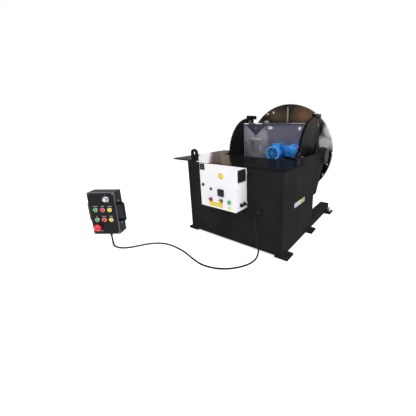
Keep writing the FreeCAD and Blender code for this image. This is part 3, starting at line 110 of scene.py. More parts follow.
surround = bpy.data.worlds.new("surround")
scene.world = surround
surround.use_nodes = True
sky = surround.node_tree
sky.nodes.clear()
rays = sky.nodes.new("ShaderNodeLightPath").outputs
seen = maths(sky, "MAXIMUM", rays["Is Camera Ray"], rays["Is Glossy Ray"])
seen_or_through = maths(sky, "MAXIMUM", seen, rays["Is Transmission Ray"])
white = add_node(sky, "Background", {"Color": (1, 1, 1, 1), "Strength": 1.0})
soft = add_node(sky, "Background", {"Color": (1, 1, 1, 1), "Strength": 0.55})
either = add_node(sky, "MixShader", {0: seen_or_through, 1: soft.outputs[0], 2: white.outputs[0]})
add_node(sky, "OutputWorld", {"Surface": either.outputs[0]})

for name, place, target, power, wide in (
    ("lamp_front", (1.9, -3.2, 3.4), (0.1, -0.2, 0.5), 82, 2.6),
    ("lamp_side", (3.4, 0.2, 2.2), (0.2, -0.3, 0.6), 66, 2.2),
    ("lamp_left", (-3.0, -1.6, 2.8), (-0.4, -0.2, 0.5), 50, 2.4),
):
    glow = bpy.data.lights.new(name, "AREA")
    glow.energy = power
    glow.shape = "DISK"
    glow.size = wide
    lamp = bpy.data.objects.new(name, glow)
    lamp.location = place
    lamp.rotation_euler = (Vector(target) - Vector(place)).to_track_quat("-Z", "Y").to_euler()
    scene.collection.objects.link(lamp)

floor_reach = 60.0
floor_corners = [(x * floor_reach, y * floor_reach, 0) for x, y in ((-1, -1), (1, -1), (1, 1), (-1, 1))]
floor_mesh = bpy.data.meshes.new("studio_floor")
floor_mesh.from_pydata(floor_corners, [], [(0, 1, 2, 3)])
studio_floor = bpy.data.objects.new("studio_floor", floor_mesh)
scene.collection.objects.link(studio_floor)
pale, tree, shader = new_material("pale_floor")
cloud = add_node(tree, "TexNoise", {"Scale": 1.5}).outputs["Fac"]
rays = tree.nodes.new("ShaderNodeLightPath").outputs
seen = maths(tree, "MAXIMUM", rays["Is Camera Ray"], rays["Is Glossy Ray"])
feed(tree, shader, {
    "Base Color": ramp(tree, cloud, ((0, (0.9, 0.9, 0.9)), (1, (0.95, 0.95, 0.95)))),
    "Roughness": 0.9,
    "Specular IOR Level": 0.1,
    "Emission Color": (1, 1, 1, 1),
    "Emission Strength": maths(tree, "MULTIPLY", seen, 0.56)})
floor_mesh.materials.append(pale)

# --- welded base box ---------------------------------------------------------------------
# Thick flame-cut side plates and thinner sheets, welded into an open-fronted box and sprayed
# with black enamel, which is slightly uneven and gathers a little dust.


def object_place(tree):
    """Where a point lies in the object's own lengths."""
    return tree.nodes.new("ShaderNodeTexCoord").outputs["Object"]


def noise(tree, place, scale, detail):
    """Cloudy noise: the scale sets how small its clouds are, and the detail how ragged their rims."""
    return add_node(tree, "TexNoise", {"Vector": place, "Scale": scale, "Detail": detail}).outputs["Fac"]


def rescaled(tree, value, low, high, start=0, end=1):
    """A number carried from the range start to end into the range low to high, and held inside it."""
    ranges = {"Value": value, "From Min": start, "From Max": end, "To Min": low, "To Max": high}
    return add_node(tree, "MapRange", ranges).outputs["Result"]


def vector_maths(tree, operation, *vectors):
    """One step of arithmetic on vectors; a length or a product of directions comes out as a number."""
    answer = "Value" if operation in ("LENGTH", "DOT_PRODUCT") else "Vector"
    return add_node(tree, "VectorMath", dict(enumerate(vectors)), operation=operation).outputs[answer]


def laid_over(tree, share, under, over):
    """One colour laid over another by a share between 0 and 1."""
    colours = {"Factor": share, "A": under, "B": over}
    return add_node(tree, "Mix", colours, data_type="RGBA").outputs["Result"]


def relief(tree, height, strength, depth, edge):
    """A surface lifted a little by noise, with every edge softened by a small radius."""
    rounded = add_node(tree, "Bevel", {"Radius": edge}, samples=4).outputs["Normal"]
    lift = {"Height": height, "Strength": strength, "Distance": depth, "Normal": rounded}
    return add_node(tree, "Bump", lift).outputs["Normal"]


def worn_place(tree, place, middle, reach, softness=0.45, breakup=0.9, grain=30):
    """How strongly one place shows, whether a real mark, a painted highlight or a painted reflection: 1 in
    its middle and 0 from its reach outwards, where the distance is measured in reaches along each axis and
    cloudy noise is added to it, so that the rim is ragged."""
    reaches = vector_maths(tree, "DIVIDE", vector_maths(tree, "SUBTRACT", place, middle), reach)
    away = vector_maths(tree, "LENGTH", reaches)
    ragged = maths(tree, "MULTIPLY_ADD", noise(tree, place, grain, 5), breakup, away)
    rim = 1 + breakup / 2
    return rescaled(tree, ragged, 0, 1, rim, rim - softness)


def enamel(name, colour, roughness, shade=0.18, peel=0.06, dust=0.0, edge=0.0015, shine=0.5, marks_and_highlights=()):
    """Sprayed paint: the colour drifts with cloudy noise, the gloss drifts with a second noise,
    fine noise lifts the surface like orange peel, dust settles on what faces up, and each listed place
    (middle, reach, colour) lays another colour over it: real marks, and painted highlights and reflections."""
    paint, tree, shader = new_material(name)
    place = object_place(tree)
    dark, light = [c * (1 - shade) for c in colour], [c * (1 + shade) for c in colour]
    tint = ramp(tree, noise(tree, place, 4.5, 6), ((0.3, dark), (0.72, light)))
    if dust:
        facing = tree.nodes.new("ShaderNodeNewGeometry").outputs["Normal"]
        upward = add_node(tree, "SeparateXYZ", {0: facing}).outputs["Z"]
        specks = maths(tree, "MULTIPLY", upward, noise(tree, place, 38, 8), clamp=True)
        tint = laid_over(tree, maths(tree, "MULTIPLY", specks, dust), tint, (0.3, 0.27, 0.24, 1))
    # Each place lays its colour over the paint: real marks, and painted highlights and reflections.
    for middle, reach, bare_and_sheen in marks_and_highlights:
        tint = laid_over(tree, worn_place(tree, place, middle, reach), tint, (*bare_and_sheen, 1))
    haze = noise(tree, place, 9, 5)
    feed(tree, shader, {
        "Base Color": tint,
        "Specular IOR Level": shine,
        "Roughness": rescaled(tree, haze, max(0.02, roughness - 0.07), roughness + 0.1),
        "Normal": relief(tree, noise(tree, place, 260, 2), peel, 0.002, edge)})
    return paint


def finish_with(material, *names):
    """Gives CAD nodes their finish."""
    for name in names:
        nodes[name].data.materials.clear()
        nodes[name].data.materials.append(material)


def add_piece(name, skins, material, body, sharp=38):
    """Puts skins into one mesh: each skin is a grid of points[u, v] and whether v closes on itself;
    neighbouring points make the faces, doubled points at seams and poles are merged."""
    points, faces, first = [], [], 0
    for grid, closed in skins:
        rows, columns = grid.shape[:2]
        index = first + np.arange(rows * columns).reshape(rows, columns)
        if closed:
            index = np.concatenate([index, index[:, :1]], axis=1)
        corners = [index[:-1, :-1], index[:-1, 1:], index[1:, 1:], index[1:, :-1]]
        faces.append(np.stack(corners, -1).reshape(-1, 4))
        points.append(grid.reshape(-1, 3))
        first += rows * columns
    mesh = bpy.data.meshes.new(name)
    mesh.from_pydata(np.concatenate(points).tolist(), [], np.concatenate(faces).tolist())
    merged = bmesh.new()
    merged.from_mesh(mesh)
    bmesh.ops.remove_doubles(merged, verts=merged.verts, dist=1e-6)
    bmesh.ops.dissolve_degenerate(merged, dist=1e-7, edges=merged.edges)
    bmesh.ops.recalc_face_normals(merged, faces=merged.faces)
    merged.to_mesh(mesh)
    merged.free()
    mesh.shade_smooth()
    mesh.set_sharp_from_angle(angle=math.radians(sharp))
    mesh.materials.append(material)
    piece = bpy.data.objects.new(name, mesh)
    scene.collection.objects.link(piece)
    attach(piece, body)
    return piece


def weld_bead(points, radius, ripple=0.006):
    """A rounded bead along a line: circles carried along it, whose radius swells and shrinks once
    per ripple and ends in a point."""
    points = np.asarray(points, float)
    lengths = np.r_[0, np.cumsum(np.linalg.norm(np.diff(points, axis=0), axis=1))]
    along = np.arange(0, lengths[-1], ripple / 4)
    line = np.stack([np.interp(along, lengths, points[:, k]) for k in range(3)], 1)
    heading = np.gradient(line, axis=0)
    heading /= np.linalg.norm(heading, axis=1)[:, None]
    guide = np.where(np.abs(heading[:, 2:3]) > 0.9, [[1.0, 0, 0]], [[0, 0, 1.0]])
    side = np.cross(heading, guide)
    side /= np.linalg.norm(side, axis=1)[:, None]
    up = np.cross(side, heading)
    swell = radius * (0.8 + 0.2 * np.abs(np.sin(np.pi * along / ripple)))
    swell[0] = swell[-1] = 0
    angle = np.linspace(0, 2 * np.pi, 8, endpoint=False)
    ring = np.cos(angle)[None, :, None] * side[:, None] + np.sin(angle)[None, :, None] * up[:, None]
    return line[:, None] + swell[:, None, None] * ring, True


black_enamel = enamel("black_enamel", (0.017, 0.0168, 0.017), 0.6, shade=0.22, dust=0.03, shine=0.005)
finish_with(black_enamel, "rear_wall", "left_side_plate", "right_side_plate", "front_wall", "floor_plate",
            "foot_pads", "front_legs", "gearbox_stand")
# The lifting lugs take a darker copy of the black enamel, as painted shade.
finish_with(enamel("black_enamel_lugs_shaded", (0.008, 0.008, 0.0085), 0.45, shine=0.02), "lifting_lugs")

box_low, box_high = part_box("rear_wall")
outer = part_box("right_side_plate")[1].x
deck_low, deck_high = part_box("deck_plate")
leg_low, leg_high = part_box("front_legs")
pad_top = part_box("foot_pads")[1].z
back, pad_long, leg_wide, floor_top = box_low.y, 0.12, 0.1, 0.03
runs = []
for side in (-1, 1):
    corner, leg_in, leg_out = side * box_high.x, side * (outer - leg_wide), side * outer
    runs += [
        ((corner, back, pad_top + 0.012), (corner, back, box_high.z - 0.004), 0.0032),
        ((leg_out, back + 0.003, pad_top), (leg_out, back + pad_long - 0.003, pad_top), 0.0055),
        ((leg_out, -back - pad_long + 0.003, pad_top), (leg_out, -back - 0.003, pad_top), 0.0055),
        ((leg_in, leg_low.y, pad_top), (leg_in, leg_low.y, leg_high.z), 0.004),
        ((leg_in, leg_low.y, leg_high.z), (leg_out, leg_low.y, leg_high.z), 0.004),
        ((leg_out, leg_high.y - pad_long - 0.002, pad_top), (leg_out, leg_high.y - 0.003, pad_top), 0.005)]
runs += [
    ((-outer + 0.004, back, deck_low.z), (outer - 0.004, back, deck_low.z), 0.0026),
    ((-box_high.x, back, floor_top), (box_high.x, back, floor_top), 0.0026)]
seams = [weld_bead([start, end], radius) for start, end, radius in runs]
add_piece("base_weld_seams", seams, black_enamel, "base")


def set_on(skin, at, right, up):
    """Lays a skin drawn flat, x to the right, y up and z out of the face, on a face with those two
    directions."""
    points, closed = skin
    right, up = np.asarray(right, float), np.asarray(up, float)
    return points @ np.stack([right, up, np.cross(right, up)]) + np.asarray(at, float), closed


def rounded_plate(wide, tall, corner, profile, steps=7):
    """A skin over a rectangle with round corners: each (inset, height) of the profile shrinks the outline
    by the inset and lifts it to the height; an inset of half the smaller side closes it."""
    profile = np.asarray(profile, float)
    quarter = np.linspace(0, np.pi / 2, steps)
    angle = np.concatenate([quarter + k * np.pi / 2 for k in range(4)])
    sign_x, sign_y = np.repeat([1, -1, -1, 1], steps), np.repeat([1, 1, -1, -1], steps)
    inset = np.minimum(profile[:, :1], min(wide, tall) / 2)
    round_off = np.maximum(corner - inset, 0)
    x = sign_x * (wide / 2 - np.maximum(corner, inset)) + round_off * np.cos(angle)
    y = sign_y * (tall / 2 - np.maximum(corner, inset)) + round_off * np.sin(angle)
    return np.stack([x, y, np.broadcast_to(profile[:, 1:], x.shape)], -1), True


def slab(wide, tall, corner, thick, edge=0.0006):
    """A flat plate with round corners whose upper edge is eased."""
    return rounded_plate(wide, tall, corner, [(1, 0), (0, 0), (0, thick - edge), (edge, thick), (1, thick)])


# A bare sheet-metal plate is glued to the right side wall: two thirds white, one third yellow.
plate_white = enamel("plate_white", (0.4, 0.39, 0.43), 0.35, shade=0.25, peel=0.04, shine=0.2)
plate_yellow = enamel("plate_yellow", (0.3, 0.29, 0.06), 0.35, shade=0.25, peel=0.04, shine=0.2)
plate_start, plate_z, plate_long, plate_tall, white_share = -0.132, 0.402, 0.231, 0.042, 0.64
for name, start, share, paint in (
    ("wall_plate_white", 0, white_share, plate_white),
    ("wall_plate_yellow", white_share, 1 - white_share, plate_yellow),
):
    plate = slab(share * plate_long, plate_tall, 0.004, 0.0015)
    middle = (outer, plate_start + (start + share / 2) * plate_long, plate_z)
    add_piece(name, [set_on(plate, middle, (0, 1, 0), (0, 0, 1))], paint, "base")

# --- deck --------------------------------------------------------------------------------
# One smooth plate over the box, with a shelf that overhangs on the left. The right part is
# painted black; across the shelf run stripes of painted reflection, bright, rust-red, brown and tan.
deck_black = (0.0095, 0.0088, 0.0085)
# Painted reflection: each band is (distance across, colour, metal share); the black at both ends is the
# deck's paint.
deck_reflection_bands = (
    (-0.62, deck_black, 0), (-0.535, deck_black, 0),
    (-0.52, (0.6, 0.59, 0.68), 1), (-0.47, (0.82, 0.81, 0.88), 1), (-0.418, (0.74, 0.72, 0.78), 1),
    (-0.405, (0.46, 0.2, 0.21), 0.4), (-0.386, (0.14, 0.05, 0.046), 0.1),
    (-0.37, (0.026, 0.011, 0.009), 0), (-0.335, (0.05, 0.022, 0.014), 0), (-0.3, (0.024, 0.013, 0.008), 0),
    (-0.285, (0.11, 0.074, 0.028), 0), (-0.225, (0.085, 0.056, 0.02), 0),
    (-0.205, (0.014, 0.01, 0.008), 0), (-0.18, deck_black, 0))


def striped_paint(name, bands, first, last, across, drift=0.03):
    """Paint with stripes of painted reflection: the distance across them, drifted by noise that is stretched
    along them, picks each band (distance, colour, metal share); the same noise streaks the colours, and a
    band's metal share makes it metallic, so that the bright bands read as mirror-like reflections."""
    paint, tree, shader = new_material(name)
    place = object_place(tree)
    turn = (0, 0, -math.atan2(across[1], across[0]))
    along = add_node(tree, "Mapping", {"Vector": place, "Rotation": turn, "Scale": (60, 1.5, 1)}).outputs[0]
    reflection_streak_noise = noise(tree, along, 1.6, 6)
    drifted = maths(tree, "MULTIPLY_ADD", reflection_streak_noise, drift, vector_maths(tree, "DOT_PRODUCT", place, across))
    stripes = rescaled(tree, drifted, 0, 1, first + drift / 2, last + drift / 2)
    stops = [((where - first) / (last - first), colour, (bare_and_sheen, bare_and_sheen, bare_and_sheen)) for where, colour, bare_and_sheen in bands]
    tint = ramp(tree, stripes, [(spot, colour) for spot, colour, grey in stops])
    reflection_metal = ramp(tree, stripes, [(spot, grey) for spot, colour, grey in stops])
    streak = rescaled(tree, reflection_streak_noise, 0.45, 1.5)
    feed(tree, shader, {
        "Base Color": add_node(tree, "VectorMath", {0: tint, "Scale": streak}, operation="SCALE").outputs[0],
        "Metallic": reflection_metal,
        "Specular IOR Level": 0.002,
        "Roughness": rescaled(tree, noise(tree, place, 7, 5), 0.08, 0.22),
        "Normal": add_node(tree, "Bevel", {"Radius": 0.0006}, samples=4).outputs["Normal"]})
    return paint


stripes_start, stripes_end, across_stripes = -0.62, -0.16, (0.74, 0.67, 0)
deck_paint_with_reflections = striped_paint("deck_paint_with_reflections", deck_reflection_bands, stripes_start, stripes_end, across_stripes)
finish_with(deck_paint_with_reflections, "deck_plate")

# --- feet --------------------------------------------------------------------------------
# Zinc-plated jack screws stand on round pads and are turned through the ends of the legs, so that
# the machine can be levelled on an uneven floor.


def bare_steel(name, colour, roughness, grain=(1, 1, 30), streak=0.12):
    """Machined steel: the gloss and the tint follow noise that is stretched along the cut."""
    metal, tree, shader = new_material(name)
    stretched = add_node(tree, "Mapping", {"Vector": object_place(tree), "Scale": grain}).outputs[0]
    lines = noise(tree, stretched, 22, 7)
    dark, light = [c * 0.72 for c in colour], [min(1, c * 1.15) for c in colour]
    feed(tree, shader, {
        "Base Color": ramp(tree, lines, ((0, dark), (1, light))),
        "Metallic": 1.0,
        "Roughness": rescaled(tree, lines, max(0.05, roughness - streak), roughness + streak),
        "Normal": relief(tree, lines, 0.08, 0.001, 0.001)})
    return metal


zinc = bare_steel("zinc", (0.55, 0.55, 0.53), 0.38)
finish_with(zinc, "levelling_feet")

# --- tilt bearings -----------------------------------------------------------------------
# Round cast housings bolted to the outside of the side plates. A ring of hexagon screws, painted
# over with the housing, holds each one; a shallow cap closes it and a grease nipple tops it.
casting = enamel("black_casting", (0.012, 0.012, 0.013), 0.5, shade=0.3, peel=0.25, shine=0.12)
finish_with(casting, "trunnion_bearings", "pinion_bearings")


def aimed(skin, at, toward):
    """Turns a skin drawn about +Z so that +Z points toward a direction, and moves it to a place."""
    points, closed = skin
    turning = np.array(Vector((0, 0, 1)).rotation_difference(Vector(toward)).to_matrix())
    return points @ turning.T + np.asarray(at, float), closed


def turned(profile, steps=48):
    """A lathe-turned skin: each (radius, height) of the profile is carried once round the axis."""
    profile = np.asarray(profile, float)
    angle = np.linspace(0, 2 * np.pi, steps, endpoint=False)
    ring = np.stack([np.cos(angle), np.sin(angle)], -1)
    flat = profile[:, None, :1] * ring[None]
    height = np.broadcast_to(profile[:, None, 1:], (len(profile), steps, 1))
    return np.concatenate([flat, height], -1), True


def hexagon_screw(at, toward, across, height):
    """A screw head on its washer: a six-sided prism whose top corners are turned off."""
    corner = across / math.sqrt(3)
    prism = turned([(0, 0), (corner, 0), (corner, height * 0.86), (corner * 0.88, height), (0, height)], 6)
    disc = turned([(0, 0), (across * 0.62, 0), (across * 0.62, height * 0.16), (0, height * 0.16)], 24)
    return [aimed(prism, at, toward), aimed(disc, at, toward)]


bearing_low, bearing_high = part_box("trunnion_bearings")
pivot_y, pivot_z = (bearing_low.y + bearing_high.y) / 2, (bearing_low.z + bearing_high.z) / 2
screw_circle, flange_thick, nipple_up = 0.077, 0.02, 0.069
cap = turned([
    (0, 0), (0.0595, 0), (0.0595, 0.004), (0.055, 0.0062), (0.046, 0.0062), (0.042, 0.004),
    (0.014, 0.0045), (0.01, 0.008), (0, 0.0085)])
nipple = turned([
    (0, 0), (0.0055, 0), (0.0055, 0.006), (0.003, 0.007), (0.003, 0.012), (0.0045, 0.0145),
    (0.002, 0.017), (0, 0.017)], 16)
screws, caps = [], []
for side in (-1, 1):
    for angle in np.radians(22.5 + 45 * np.arange(8)):
        ring_y, ring_z = screw_circle * math.cos(angle), screw_circle * math.sin(angle)
        at = (side * (outer + flange_thick), pivot_y + ring_y, pivot_z + ring_z)
        screws += hexagon_screw(at, (side, 0, 0), 0.0105, 0.007)
    caps.append(aimed(cap, (side * (bearing_high.x - 0.006), pivot_y, pivot_z), (side, 0, 0)))
    caps.append(aimed(nipple, (side * (outer + 0.03), pivot_y, pivot_z + nipple_up), (0, 0, 1)))
add_piece("bearing_screws", screws, casting, "base", sharp=30)
add_piece("bearing_caps", caps, casting, "base")

# --- lifting eyes ------------------------------------------------------------------------
# Four flame-cut eye plates take the crane's hooks: two stand on the deck and two on the arms, and
# a fillet weld runs round the foot of each.
lug_reach, lug_half, arm_top = 0.04, 0.01, 0.782
lug_feet = (((-0.43, -0.335), "x", deck_high.z), ((0.515, -0.082), "y", deck_high.z),
            ((-0.5125, 0.383), "y", arm_top), ((0.5125, 0.383), "y", arm_top))
beads = []
for (x, y), along, z in lug_feet:
    half_x, half_y = (lug_reach, lug_half) if along == "x" else (lug_half, lug_reach)
    loop = [(x + side_x * half_x, y + side_y * half_y, z)
            for side_x, side_y in ((-1, -1), (1, -1), (1, 1), (-1, 1), (-1, -1))]
    beads += [weld_bead(run, 0.0042) for run in zip(loop, loop[1:])]
add_piece("lug_welds", beads, black_enamel, "base")

# --- tilting frame -----------------------------------------------------------------------
# Two toothed plates joined by a front plate, with a painted sheet behind them that is made of
# several panels, a grey rail with painted highlights along its top and a triangular lifting gusset.
sheet_low, sheet_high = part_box("saddle_back_plate")
sheet_face, cover_thick = sheet_low.y, 0.012
gusset_low, gusset_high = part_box("lifting_gusset")
rail_low, rail_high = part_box("saddle_top_rail")


def upright(y, deep, *places):
    """Places on an upright sheet that lies at y, real marks as well as painted highlights and reflections:
    each (x, z, wide, tall, colour) is given as its middle, its reach along the three axes and its
    colour, if it has one."""
    return [((x, y, z), (wide, deep, tall), *colour) for x, z, wide, tall, *colour in places]


# Brown and dark brown patches on the left sector: painted reflections on the black enamel.
sector_painted_reflections = (
    ((-0.4, 0.575, 1.085), (0.05, 0.05, 0.035), (0.11, 0.085, 0.065)),
    ((-0.4, 0.5, 1.04), (0.05, 0.04, 0.022), (0.05, 0.04, 0.034)))
sector_enamel = enamel("sector_enamel", (0.008, 0.0075, 0.0075), 0.4, shade=0.3, dust=0.02, shine=0.04,
                       marks_and_highlights=sector_painted_reflections)
finish_with(sector_enamel, "left_sector", "right_sector", "sector_stops", "saddle_front_plate")
# Lighter grey patches on the sheet, and two bright spots near its top that are painted highlights.
sheet_patches_and_highlights = upright(
    sheet_face, 0.1,
    (-0.235, 0.86, 0.2, 0.26, (0.215, 0.215, 0.25)),
    (-0.33, 0.97, 0.09, 0.14, (0.33, 0.33, 0.37)),
    (-0.14, 0.93, 0.08, 0.1, (0.27, 0.27, 0.31)),
    (-0.043, 1.028, 0.038, 0.018, (0.7, 0.7, 0.74)),
    (0.305, 1.024, 0.02, 0.024, (0.8, 0.8, 0.84)))
sheet_violet = enamel("sheet_grey_violet", (0.098, 0.096, 0.132), 0.34, shade=0.22, shine=0.35,
                      marks_and_highlights=sheet_patches_and_highlights)
finish_with(sheet_violet, "saddle_back_plate")
eye_worn = upright(gusset_low.y, 0.05, (
    (gusset_low.x + gusset_high.x) / 2, gusset_high.z - 0.045, 0.02, 0.016, (0.14, 0.036, 0.034)))
gusset_violet = enamel("gusset_violet", (0.024, 0.027, 0.056), 0.42, shade=0.15, shine=0.3, marks_and_highlights=eye_worn)
finish_with(gusset_violet, "lifting_gusset")
# A darker and a lighter patch on the covers, and two thin bright lines, along the top edge and the middle
# seam, that are painted highlights.
cover_patches_and_highlights = upright(
    sheet_face - cover_thick, 0.05,
    (-0.265, 0.845, 0.035, 0.035, (0.11, 0.108, 0.13)),
    (-0.165, 0.8, 0.025, 0.045, (0.3, 0.3, 0.34)),
    (-0.228, 0.825, 0.0045, 0.09, (0.42, 0.42, 0.46)),
    (-0.215, 0.901, 0.11, 0.0055, (0.82, 0.82, 0.85)))
cover_grey = enamel("cover_grey", (0.205, 0.205, 0.24), 0.4, shade=0.25, shine=0.4, marks_and_highlights=cover_patches_and_highlights)
finish_with(cover_grey, "access_covers")
# Bright places along the rail's top edge: painted highlights.
rail_painted_highlights = upright(
    rail_low.y, 0.05,
    (-0.345, rail_high.z, 0.045, 0.03, (0.72, 0.72, 0.76)),
    (-0.175, rail_high.z, 0.05, 0.03, (0.72, 0.72, 0.76)),
    (0.3, rail_high.z, 0.12, 0.03, (0.24, 0.24, 0.28)))
rail_grey = enamel("rail_grey", (0.085, 0.085, 0.115), 0.45, shade=0.25, shine=0.15, marks_and_highlights=rail_painted_highlights)
finish_with(rail_grey, "saddle_top_rail")
shaft_steel = bare_steel("shaft_steel", (0.5, 0.49, 0.47), 0.3, grain=(30, 1, 1))
finish_with(shaft_steel, "trunnion_shafts", "tilt_shaft")

lower_seam_x, upper_seam_x, lower_seam_top = -0.215, -0.065, 0.756
runs = [
    (lower_seam_x, lower_seam_top, sheet_low.z + 0.004, 0.003, 0.009),
    (upper_seam_x, sheet_low.z + 0.004, sheet_high.z - 0.006, 0.0022, 0.009)]
runs += [(side * (sheet_high.x - 0.003), sheet_low.z, sheet_high.z, 0.0045, 0.006) for side in (-1, 1)]
panel_seams = [weld_bead([(x, sheet_face, start), (x, sheet_face, end)], radius, ripple)
               for x, start, end, radius, ripple in runs]
add_piece("panel_seams", panel_seams, cover_grey, "tilting_frame")

plated = bare_steel("plated_screws", (0.6, 0.6, 0.62), 0.3)
cover_low, cover_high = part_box("access_covers")
stop_low, stop_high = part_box("sector_stops")
front_low, front_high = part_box("saddle_front_plate")
sector_middles = (-0.41, 0.41)


def screw_grid(xs, ys, zs, toward, across, height):
    """Screws at every crossing of the given x, y and z places."""
    places = [(x, y, z) for x in xs for y in ys for z in zs]
    return [skin for at in places for skin in hexagon_screw(at, toward, across, height)]


cover_rows = (cover_low.z + 0.01, cover_low.z + 0.123)
cover_columns = np.delete(np.linspace(cover_low.x + 0.01, cover_high.x - 0.01, 5), 2)
fixings = screw_grid(cover_columns, (cover_low.y + 0.009,), cover_rows, (0, -1, 0), 0.0075, 0.004)
stop_rows = (stop_low.y + 0.035, stop_low.y + 0.115)
fixings += screw_grid(sector_middles, stop_rows, (stop_high.z,), (0, 0, 1), 0.019, 0.01)
front_rows = np.linspace(front_low.z + 0.045, front_high.z - 0.045, 8)
fixings += screw_grid(sector_middles, (front_high.y,), front_rows, (0, 1, 0), 0.017, 0.01)
add_piece("frame_screws", fixings, plated, "tilting_frame", sharp=30)

stop_half, weld_long, rim_back, rim_front = 0.0125, 0.1, stop_low.z + 0.0155, stop_low.z + 0.0115
stop_welds = []
for middle in sector_middles:
    for x in (middle - stop_half, middle + stop_half):
        start, end = (x, stop_low.y + 0.004, rim_back), (x, stop_low.y + weld_long, rim_front)
        stop_welds.append(weld_bead([start, end], 0.004))
add_piece("stop_welds", stop_welds, sector_enamel, "tilting_frame")

# --- slewing ring and table --------------------------------------------------------------
# A geared ring bearing carries a thick round table. The table's face is turned bare, with fine
# circular tool marks; its back and rim wear a dark varnish, with painted reflections on it that
# are brown, near black and bright.
gear_steel = bare_steel("gear_steel", (0.42, 0.41, 0.39), 0.35, grain=(1, 30, 1))
finish_with(gear_steel, "slew_gear_ring", "slew_inner_ring", "table_hub_ring", "rotation_pinion")
finish_with(bare_steel("brush_copper", (0.72, 0.45, 0.28), 0.35), "ground_brush")
back_y, face_y = (corner.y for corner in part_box("table_disc"))
hub = (0.0, face_y, pivot_z)


def turned_table(name, highlight_places, reflection_tints):
    """A lathe-turned disc: rings that repeat with the distance from the axis mark the metal, and dark
    varnish covers all but the face. Reflection tints (middle, reach, colour) lay painted reflections
    over the varnish, and in highlight places (middle, reach) the bright metal colour is painted in as
    highlights."""
    metal, tree, shader = new_material(name)
    place = object_place(tree)
    from_axis = vector_maths(tree, "MULTIPLY", vector_maths(tree, "SUBTRACT", place, hub), (1, 0, 1))
    outward = add_node(tree, "CombineXYZ", {"X": vector_maths(tree, "LENGTH", from_axis)}).outputs[0]
    rings = noise(tree, outward, 160, 6)
    varnish_tints = ((0.35, (0.012, 0.01, 0.009)), (0.7, (0.04, 0.028, 0.019)))
    varnish = ramp(tree, noise(tree, place, 3.2, 5), varnish_tints)
    for middle, reach, colour in reflection_tints:
        reflection_tint = worn_place(tree, place, middle, reach, softness=0.8, grain=9)
        varnish = laid_over(tree, reflection_tint, varnish, (*colour, 1))
    depth = add_node(tree, "SeparateXYZ", {0: place}).outputs["Y"]
    front = rescaled(tree, depth, 0, 1, face_y - 0.0025, face_y - 0.002)
    bare_and_sheen = front
    for middle, reach in highlight_places:
        highlight_share = worn_place(tree, place, middle, reach, softness=0.6, breakup=0.4, grain=12)
        bare_and_sheen = maths(tree, "MAXIMUM", bare_and_sheen, highlight_share)
    steel = ramp(tree, rings, ((0.3, (0.44, 0.43, 0.41)), (0.7, (0.78, 0.77, 0.75))))
    feed(tree, shader, {
        "Base Color": laid_over(tree, bare_and_sheen, varnish, steel),
        "Metallic": maths(tree, "MAXIMUM", rescaled(tree, bare_and_sheen, 0.75, 0.15), front),
        "Roughness": rescaled(tree, rings, 0.16, 0.34),
        "Normal": relief(tree, rings, 0.1, 0.001, 0.0015)})
    return metal


# Bright places on the table's back, at the right and the upper left: painted highlights.
table_painted_highlights = upright(
    back_y, 0.05,
    (0.465, 0.855, 0.135, 0.125), (0.5, 0.99, 0.08, 0.15), (0.372, 1.01, 0.016, 0.09),
    (0.411, 0.566, 0.012, 0.014), (0.507, 0.616, 0.014, 0.016), (0.471, 0.489, 0.012, 0.022),
    (-0.285, 1.19, 0.02, 0.014), (-0.203, 1.204, 0.012, 0.02), (-0.3, 1.094, 0.045, 0.022))
# Brown places at the top and a near-black place at the lower right of the table's back: painted reflections.
table_reflection_tints = upright(
    back_y, 0.05,
    (0.2, 1.16, 0.19, 0.15, (0.135, 0.07, 0.032)),
    (-0.15, 1.15, 0.2, 0.12, (0.062, 0.045, 0.024)),
    (0.4, 1.12, 0.08, 0.1, (0.085, 0.06, 0.036)),
    (0.38, 0.5, 0.3, 0.25, (0.006, 0.0055, 0.005)))
table_finish = turned_table("turned_table", table_painted_highlights, table_reflection_tints)
finish_with(table_finish, "table_disc")
# A light place on the upright rib at the top: painted highlight.
rib_painted_highlight = upright(back_y - 0.024, 0.05, (0, 1.17, 0.03, 0.11, (0.26, 0.25, 0.205)))
rib_enamel = enamel("rib_enamel", (0.016, 0.013, 0.011), 0.3, shade=0.3, shine=0.3, marks_and_highlights=rib_painted_highlight)
finish_with(rib_enamel, "table_ribs")


def out_from_axis(eighths):
    """The direction away from the table's axis, a number of eighths of a turn on from upright."""
    angle = eighths * math.pi / 4
    return np.array([math.sin(angle), 0, math.cos(angle)])


rib_foot = np.array([0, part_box("table_ribs")[1].y, pivot_z])
rib_start, rib_end, rib_half, cap_circle = 0.3, 0.52, 0.006, 0.095
socket = turned([
    (0, 0), (0.0105, 0), (0.0105, 0.0022), (0.0098, 0.003), (0.0055, 0.003), (0.0055, 0.0004),
    (0, 0.0004)], 24)
rib_welds, cap_screws = [], []
for step in range(8):
    out_way = out_from_axis(step)
    across = np.array([out_way[2], 0, -out_way[0]])
    for side in (-1, 1):
        foot = rib_foot + side * rib_half * across
        rib_welds.append(weld_bead([foot + rib_start * out_way, foot + rib_end * out_way], 0.003))
    cap_screws.append(aimed(socket, hub + cap_circle * out_from_axis(step + 0.5), (0, 1, 0)))
add_piece("rib_welds", rib_welds, table_finish, "table")
add_piece("table_cap_screws", cap_screws, plated, "table", sharp=30)
centre_lip = turned([
    (0.05, -0.002), (0.05, 0.0012), (0.053, 0.002), (0.06, 0.002), (0.061, 0), (0.05, -0.002)], 72)
add_piece("table_centre_lip", [aimed(centre_lip, hub, (0, 1, 0))], gear_steel, "table")

